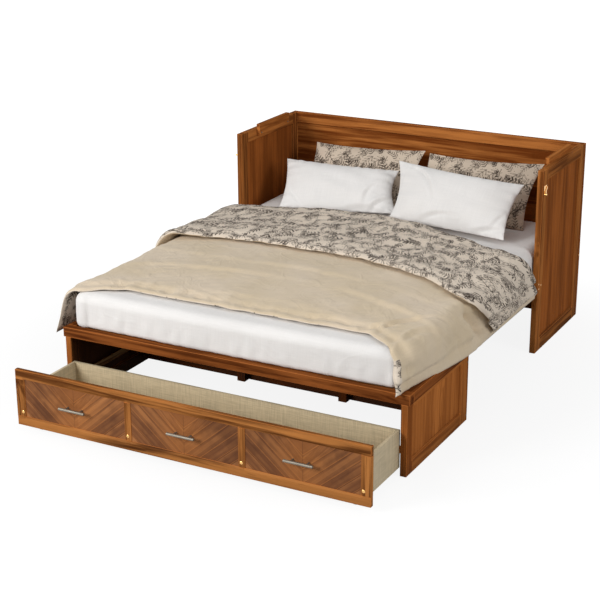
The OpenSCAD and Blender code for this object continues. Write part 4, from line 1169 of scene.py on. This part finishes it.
class BED_OT_duvet(BedOperator, bpy.types.Operator):
    """Makes the duvet, folded back at the head so that its printed side shows"""
    bl_idname = "wall_bed.duvet"
    bl_label = "Duvet"

    def execute(self, context):
        shape, set_by = look("bed_shape"), look("bed_cloth")
        grow = np.linspace(-1, 1, 2 * HALF_COLUMNS + 1)
        q = np.sign(grow) * np.abs(grow) ** 0.8 * HALF
        head = head_line(q) + 0.004 * ripple(q, q * 0, 0.30, 5, 21)
        foot = foot_line(q) + 0.004 * ripple(q, q * 0, 0.16, 6, 22)
        hem = hem_line(q) + 0.006 * ripple(q, q * 0, 0.24, 6, 23)
        q_low, y_low, low_upper, low_lower = lower_layer(q, foot, head, hem, shape)
        q_up, y_up, up_lower, up_upper = upper_layer(q, head, hem, shape)
        phi = np.linspace(0, np.pi, TURN_ROWS + 2)[1:-1]
        q_turn = q[:, None] * (1 + (narrowing(q)[:, None] - 1) * (1 - np.cos(phi)) / 2)
        q_all = np.concatenate([q_low, q_turn, q_up], 1)

        def face(low, up, reach):
            """One face of both layers, joined past the head line by half an ellipse that
            reaches out from low's last height to up's first."""
            middle, radius = (low[:, -1] + up[:, 0]) / 2, (up[:, 0] - low[:, -1]) / 2
            y_turn = (head - NOSE)[:, None] + reach * np.sin(phi)
            h_turn = middle[:, None] - radius[:, None] * np.cos(phi)
            return over_edge(q_all, np.concatenate([y_low, y_turn, y_up], 1),
                             np.concatenate([low, h_turn, up], 1))

        beige, printed = face(low_upper, up_lower, NOSE_IN), face(low_lower, up_upper, NOSE)
        steps = np.linalg.norm(np.diff(printed[HALF_COLUMNS], axis=0), axis=-1)
        run = np.concatenate([[0], np.cumsum(steps)])
        uv = np.stack(np.broadcast_arrays(q[:, None], run[None, :]), -1)
        piece = surface("duvet_cloth",
                        np.concatenate([beige, printed[:, ::-1], beige[:, :1]], 1),
                        np.concatenate([uv, uv[:, ::-1], uv[:, :1]], 1))
        marks = np.zeros((len(q) - 1, 2 * len(run)), np.int32)
        marks[:, len(run):] = 1
        lip = ((y_low - foot[:, None])[:-1] < LIP_WIDE) & (q_low[:-1] > LIP_FROM)
        marks[:, :LOW_ROWS][lip] = 1
        piece.data.materials.append(cloth("duvet_beige", tuple(set_by.beige),
                                          tuple(set_by.blush), 0.75)[0])
        piece.data.materials.append(printed_cloth("leaf_print"))
        piece.data.polygons.foreach_set("material_index", marks.ravel())
        weld(piece)
        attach(piece, "bedding")
        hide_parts("duvet", "duvet_turnback")
        return {"FINISHED"}


# ---------------------------------------------------------------- pillows

DRAW = 0.075                # how far a case's sides are drawn in, as a share of half its size
FLAT, PLUMP = 2.5, 0.58     # the exponents n and m of its crown


def pillow(node, width, height, thick, lean, yaw, seed, creases, pulls):
    """A stuffed case that stands where its CAD solid does.

    Over a, b from -1 to 1 a face is x = w/2 a (1 - d (1 - b^2)), y = h/2 b (1 - d (1 - a^2)),
    z = t/2 ((1 - |a|^n) (1 - |b|^n))^m, with puckers that run in from the seam, and
    creases (a, b, degrees, length, depth). Each pull (a, b, dx, dy) moves one corner, fading
    by a power of the bilinear share to the others. Both faces share the seam. Then it
    leans back and turns by lean and yaw, in degrees, and goes where its shape without the
    pulls fills the middle of its solid's box, standing on the mattress."""
    a, b = np.meshgrid(*(np.sin(np.linspace(-np.pi / 2, np.pi / 2, n)) for n in (90, 60)),
                       indexing="ij")
    x = width / 2 * a * (1 - DRAW * (1 - b ** 2))
    y = height / 2 * b * (1 - DRAW * (1 - a ** 2))
    plain = x, y
    for at_a, at_b, dx, dy in pulls:
        share = ((1 + at_a * a) / 2 * (1 + at_b * b) / 2) ** 1.5
        x, y = x + dx * share, y + dy * share
    lean, yaw = math.radians(lean), math.radians(yaw)
    cl, sl, cy, sy = math.cos(lean), math.sin(lean), math.cos(yaw), math.sin(yaw)

    def stood(x, y, z):
        """Leans points back by lean and turns them by yaw."""
        y, z = y * cl - z * sl, y * sl + z * cl
        return np.stack([x * cy - y * sy, x * sy + y * cy, z], -1)

    crown = np.maximum((1 - np.abs(a) ** FLAT) * (1 - np.abs(b) ** FLAT), 0) ** PLUMP
    near = 1 - np.maximum(np.abs(a), np.abs(b))
    faces, unpulled = [], []
    for side in (1, -1):
        run = np.where(np.abs(a) > np.abs(b), y, x)
        pucker = (0.0045 * np.exp(-near / 0.16) * (1 - np.exp(-near / 0.02))
                  * ripple(run, run * 0, 0.055, 7, seed + side))
        waves = (0.006 * ripple(x, y, 0.30, 6, seed + 10 * side)
                 + 0.0022 * ripple(x, y, 0.11, 8, seed + 20 * side))
        if side == 1:
            for at_a, at_b, turn, reach, depth in creases:
                waves += crease(x - at_a * width / 2, y - at_b * height / 2,
                                math.radians(turn), reach, depth, 0.016)
        z = side * ((thick / 2 + waves) * crown + pucker)
        z = np.where(near < 1e-9, 0, z)
        faces.append(stood(x, y, z))
        unpulled.append(stood(*plain, z))
    points, home = np.array(faces), np.reshape(unpulled, (-1, 3))
    low, high = (np.array(c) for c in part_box(node))
    shift = (low + high) / 2 - (home.min(0) + home.max(0)) / 2
    shift[2] = max(low[2] + 0.001 - points[..., 2].min(), shift[2])
    points = points + shift
    uv = np.stack([x, y], -1)
    piece = surface("case_" + node, points[0], uv)
    join([piece, surface("back", points[1][::-1], uv[::-1] + (0.37, 0.21))])
    weld(piece)
    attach(piece, "bedding")
    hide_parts(node)
    return piece


# Name, width, thickness, lean and yaw in degrees, seed, creases and pulls
PILLOWS = [
    ("pillow_left", 0.605, 0.112, 37, 11, 51,
     [(0.80, -0.55, 50, 0.12, 0.020), (0.45, -0.70, 12, 0.14, 0.014),
      (0.62, -0.20, 75, 0.08, 0.008), (-0.55, -0.62, 140, 0.10, 0.010)],
     [(-1, 1, 0.002, 0.008), (1, 1, 0.009, -0.020), (1, -1, 0.054, 0.055),
      (-1, -1, 0.037, 0.042)]),
    ("pillow_right", 0.660, 0.112, 50, -7, 61,
     [(0.62, -0.72, 24, 0.12, 0.020), (-0.30, -0.62, 30, 0.10, 0.010),
      (-0.62, 0.62, -35, 0.11, 0.012), (0.80, -0.35, 65, 0.08, 0.010)],
     [(-1, 1, -0.066, 0.003), (1, 1, -0.009, -0.018), (1, -1, -0.009, 0.031),
      (-1, -1, 0.0, 0.033)]),
    ("sham_left", 0.620, 0.068, 50, 0, 71,
     [], [(-1, 1, 0.001, -0.007), (1, 1, 0.010, 0.017)]),
    ("sham_right", 0.620, 0.068, 50, 0, 81,
     [], [(-1, 1, 0.022, 0.003), (1, 1, 0.021, 0.018), (1, -1, 0.010, -0.005)]),
]


class BED_OT_pillows(BedOperator, bpy.types.Operator):
    """Makes the two white pillows and the two printed shams"""
    bl_idname = "wall_bed.pillows"
    bl_label = "Pillows and shams"

    def execute(self, context):
        shape = look("bed_shape")
        kinds = {
            "pillow": (shape.pillow_h, "white_cotton", 0.7,
                       white_cloth("pillow_cotton", tuple(look("bed_cloth").white))),
            # The shams' print takes tone 0.86: painted shade in its ground
            "sham": (shape.sham_h, "printed_cotton", 0.5, printed_cloth("sham_print", 0.86)),
        }
        for name, width, thick, lean, yaw, seed, creases, pulls in PILLOWS:
            height, slot, fill, material = kinds[name.split("_")[0]]
            piece = pillow(name, width, height, thick, lean, yaw, seed, creases, pulls)
            piece.data.materials.append(material)
        return {"FINISHED"}


# ---------------------------------------------------------------- stage

def seen_rays(tree):
    """1 for rays from the camera, and for those that metal or glass sends on."""
    path = tree.nodes.new("ShaderNodeLightPath")
    camera, glossy, through = (Wire(tree, path.outputs[name]) for name in (
        "Is Camera Ray", "Is Glossy Ray", "Is Transmission Ray"))
    return camera.most(glossy).most(through)


def shown(tree, share, plain, seen, output):
    """Sends out the plain shader where share is 0 and the seen one where it is 1."""
    mix = tree.nodes.new("ShaderNodeMixShader")
    feed(tree, mix.inputs[0], share)
    tree.links.new(plain.outputs[0], mix.inputs[1])
    tree.links.new(seen.outputs[0], mix.inputs[2])
    tree.links.new(mix.outputs[0], tree.nodes.new(output).inputs[0])


def cleared(owner):
    """The owner's node tree, without its first nodes."""
    owner.use_nodes = True
    owner.node_tree.nodes.clear()
    return owner.node_tree


CAMERA_AT = (3.019, -7.127, 2.686)
HEADING, PITCH, ROLL = math.radians(28.18), math.radians(19.57), math.radians(-0.25)
# Name, place, target and size of each lamp
LAMPS = [("key", (-3.0, -7.4, 3.3), (0.0, -1.4, 0.3), 3.2),
         ("fill", (5.8, -2.6, 3.0), (0.4, -1.2, 0.3), 2.6),
         ("top", (0.4, -1.6, 4.6), (0.0, -1.2, 0.3), 3.0)]
FLOOR_HALF, FLOOR_Z = 30.0, -0.0005
BED_Y = -1.2        # middle of the bed, from which the floor's white grows


class BED_OT_stage(BedOperator, bpy.types.Operator):
    """Makes the floor, the lights, the world and the camera"""
    bl_idname = "wall_bed.stage"
    bl_label = "Stage"

    def execute(self, context):
        scene, set_by = context.scene, look("bed_stage")
        self.floor(set_by)
        self.world(scene, set_by)
        for name, place, target, size in LAMPS:
            self.lamp(scene, name, place, target, size, getattr(set_by, name))
        data = bpy.data.cameras.new("camera")
        data.lens, data.sensor_width = set_by.lens, 36.0
        data.clip_start, data.clip_end = 0.1, 100.0
        camera = bpy.data.objects.new("camera", data)
        scene.collection.objects.link(camera)
        camera.matrix_world = (
            Matrix.Translation(CAMERA_AT) @ Matrix.Rotation(HEADING, 4, "Z")
            @ Matrix.Rotation(math.pi / 2 - PITCH, 4, "X") @ Matrix.Rotation(ROLL, 4, "Z"))
        scene.camera = camera
        scene.view_settings.view_transform = "Standard"
        return {"FINISHED"}

    def floor(self, set_by):
        """A plain floor that takes the object's shadow and shows nearly white."""
        span = np.array([-FLOOR_HALF, FLOOR_HALF])
        x, y = np.meshgrid(span, span, indexing="ij")
        plane = surface("floor", np.stack([x, y, x * 0 + FLOOR_Z], -1), np.stack([x, y], -1))
        material = bpy.data.materials.new("floor")
        t = cleared(material)
        matt = t.nodes.new("ShaderNodeBsdfDiffuse")
        matt.inputs["Color"].default_value = (*set_by.floor, 1.0)
        glow = t.nodes.new("ShaderNodeEmission")
        x, y, _ = place_of(t).parts()
        away = (x * x + (y - BED_Y) * (y - BED_Y)).root()
        feed(t, glow.inputs["Strength"], away.ramp(1.0, 3.2, 1.16, 1.42))
        shown(t, seen_rays(t) * set_by.glow, matt, glow, "ShaderNodeOutputMaterial")
        plane.data.materials.append(material)

    def world(self, scene, set_by):
        """Even light all round, seen as white."""
        scene.world = scene.world or bpy.data.worlds.new("world")
        t = cleared(scene.world)
        light, seen = (t.nodes.new("ShaderNodeBackground") for _ in range(2))
        light.inputs["Strength"].default_value = set_by.sky
        light.inputs["Color"].default_value = (0.97, 0.985, 1.0, 1.0)
        seen.inputs["Color"].default_value = (1.0, 1.0, 1.0, 1.0)
        shown(t, seen_rays(t), light, seen, "ShaderNodeOutputWorld")

    def lamp(self, scene, name, place, target, size, power):
        """A round soft lamp that faces its target."""
        data = bpy.data.lights.new(name, "AREA")
        data.shape, data.size, data.energy = "DISK", size, power
        lamp = bpy.data.objects.new(name, data)
        scene.collection.objects.link(lamp)
        aim = (Vector(target) - Vector(place)).to_track_quat("-Z", "Y")
        lamp.matrix_world = Matrix.Translation(place) @ aim.to_matrix().to_4x4()


# ---------------------------------------------------------------- registration

OPERATORS = [BED_OT_cabinet, BED_OT_platform, BED_OT_base, BED_OT_drawer, BED_OT_metal,
             BED_OT_mattress, BED_OT_duvet, BED_OT_pillows, BED_OT_stage]


class BED_PT_panel(bpy.types.Panel):
    """The bed's settings and the operators that build it."""
    bl_idname = "BED_PT_panel"
    bl_label = "Wall Bed"
    bl_space_type = "VIEW_3D"
    bl_region_type = "UI"
    bl_category = "Wall Bed"

    def draw(self, context):
        for name, group in GROUPS.items():
            box = self.layout.box()
            box.label(text=group.__doc__)
            for label in group.__annotations__:
                box.prop(getattr(context.scene, name), label)
        for operator in OPERATORS:
            self.layout.operator(operator.bl_idname)


def register():
    for group in GROUPS.values():
        bpy.utils.register_class(group)
    for name, group in GROUPS.items():
        setattr(bpy.types.Scene, name, PointerProperty(type=group))
    for cls in (*OPERATORS, BED_PT_panel):
        bpy.utils.register_class(cls)


def unregister():
    for cls in (BED_PT_panel, *reversed(OPERATORS)):
        bpy.utils.unregister_class(cls)
    for name, group in GROUPS.items():
        delattr(bpy.types.Scene, name)
        bpy.utils.unregister_class(group)


def main():
    register()
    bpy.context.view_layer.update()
    for operator in OPERATORS:
        group, _, name = operator.bl_idname.partition(".")
        getattr(getattr(bpy.ops, group), name)()


if __name__ == "__main__":
    main()
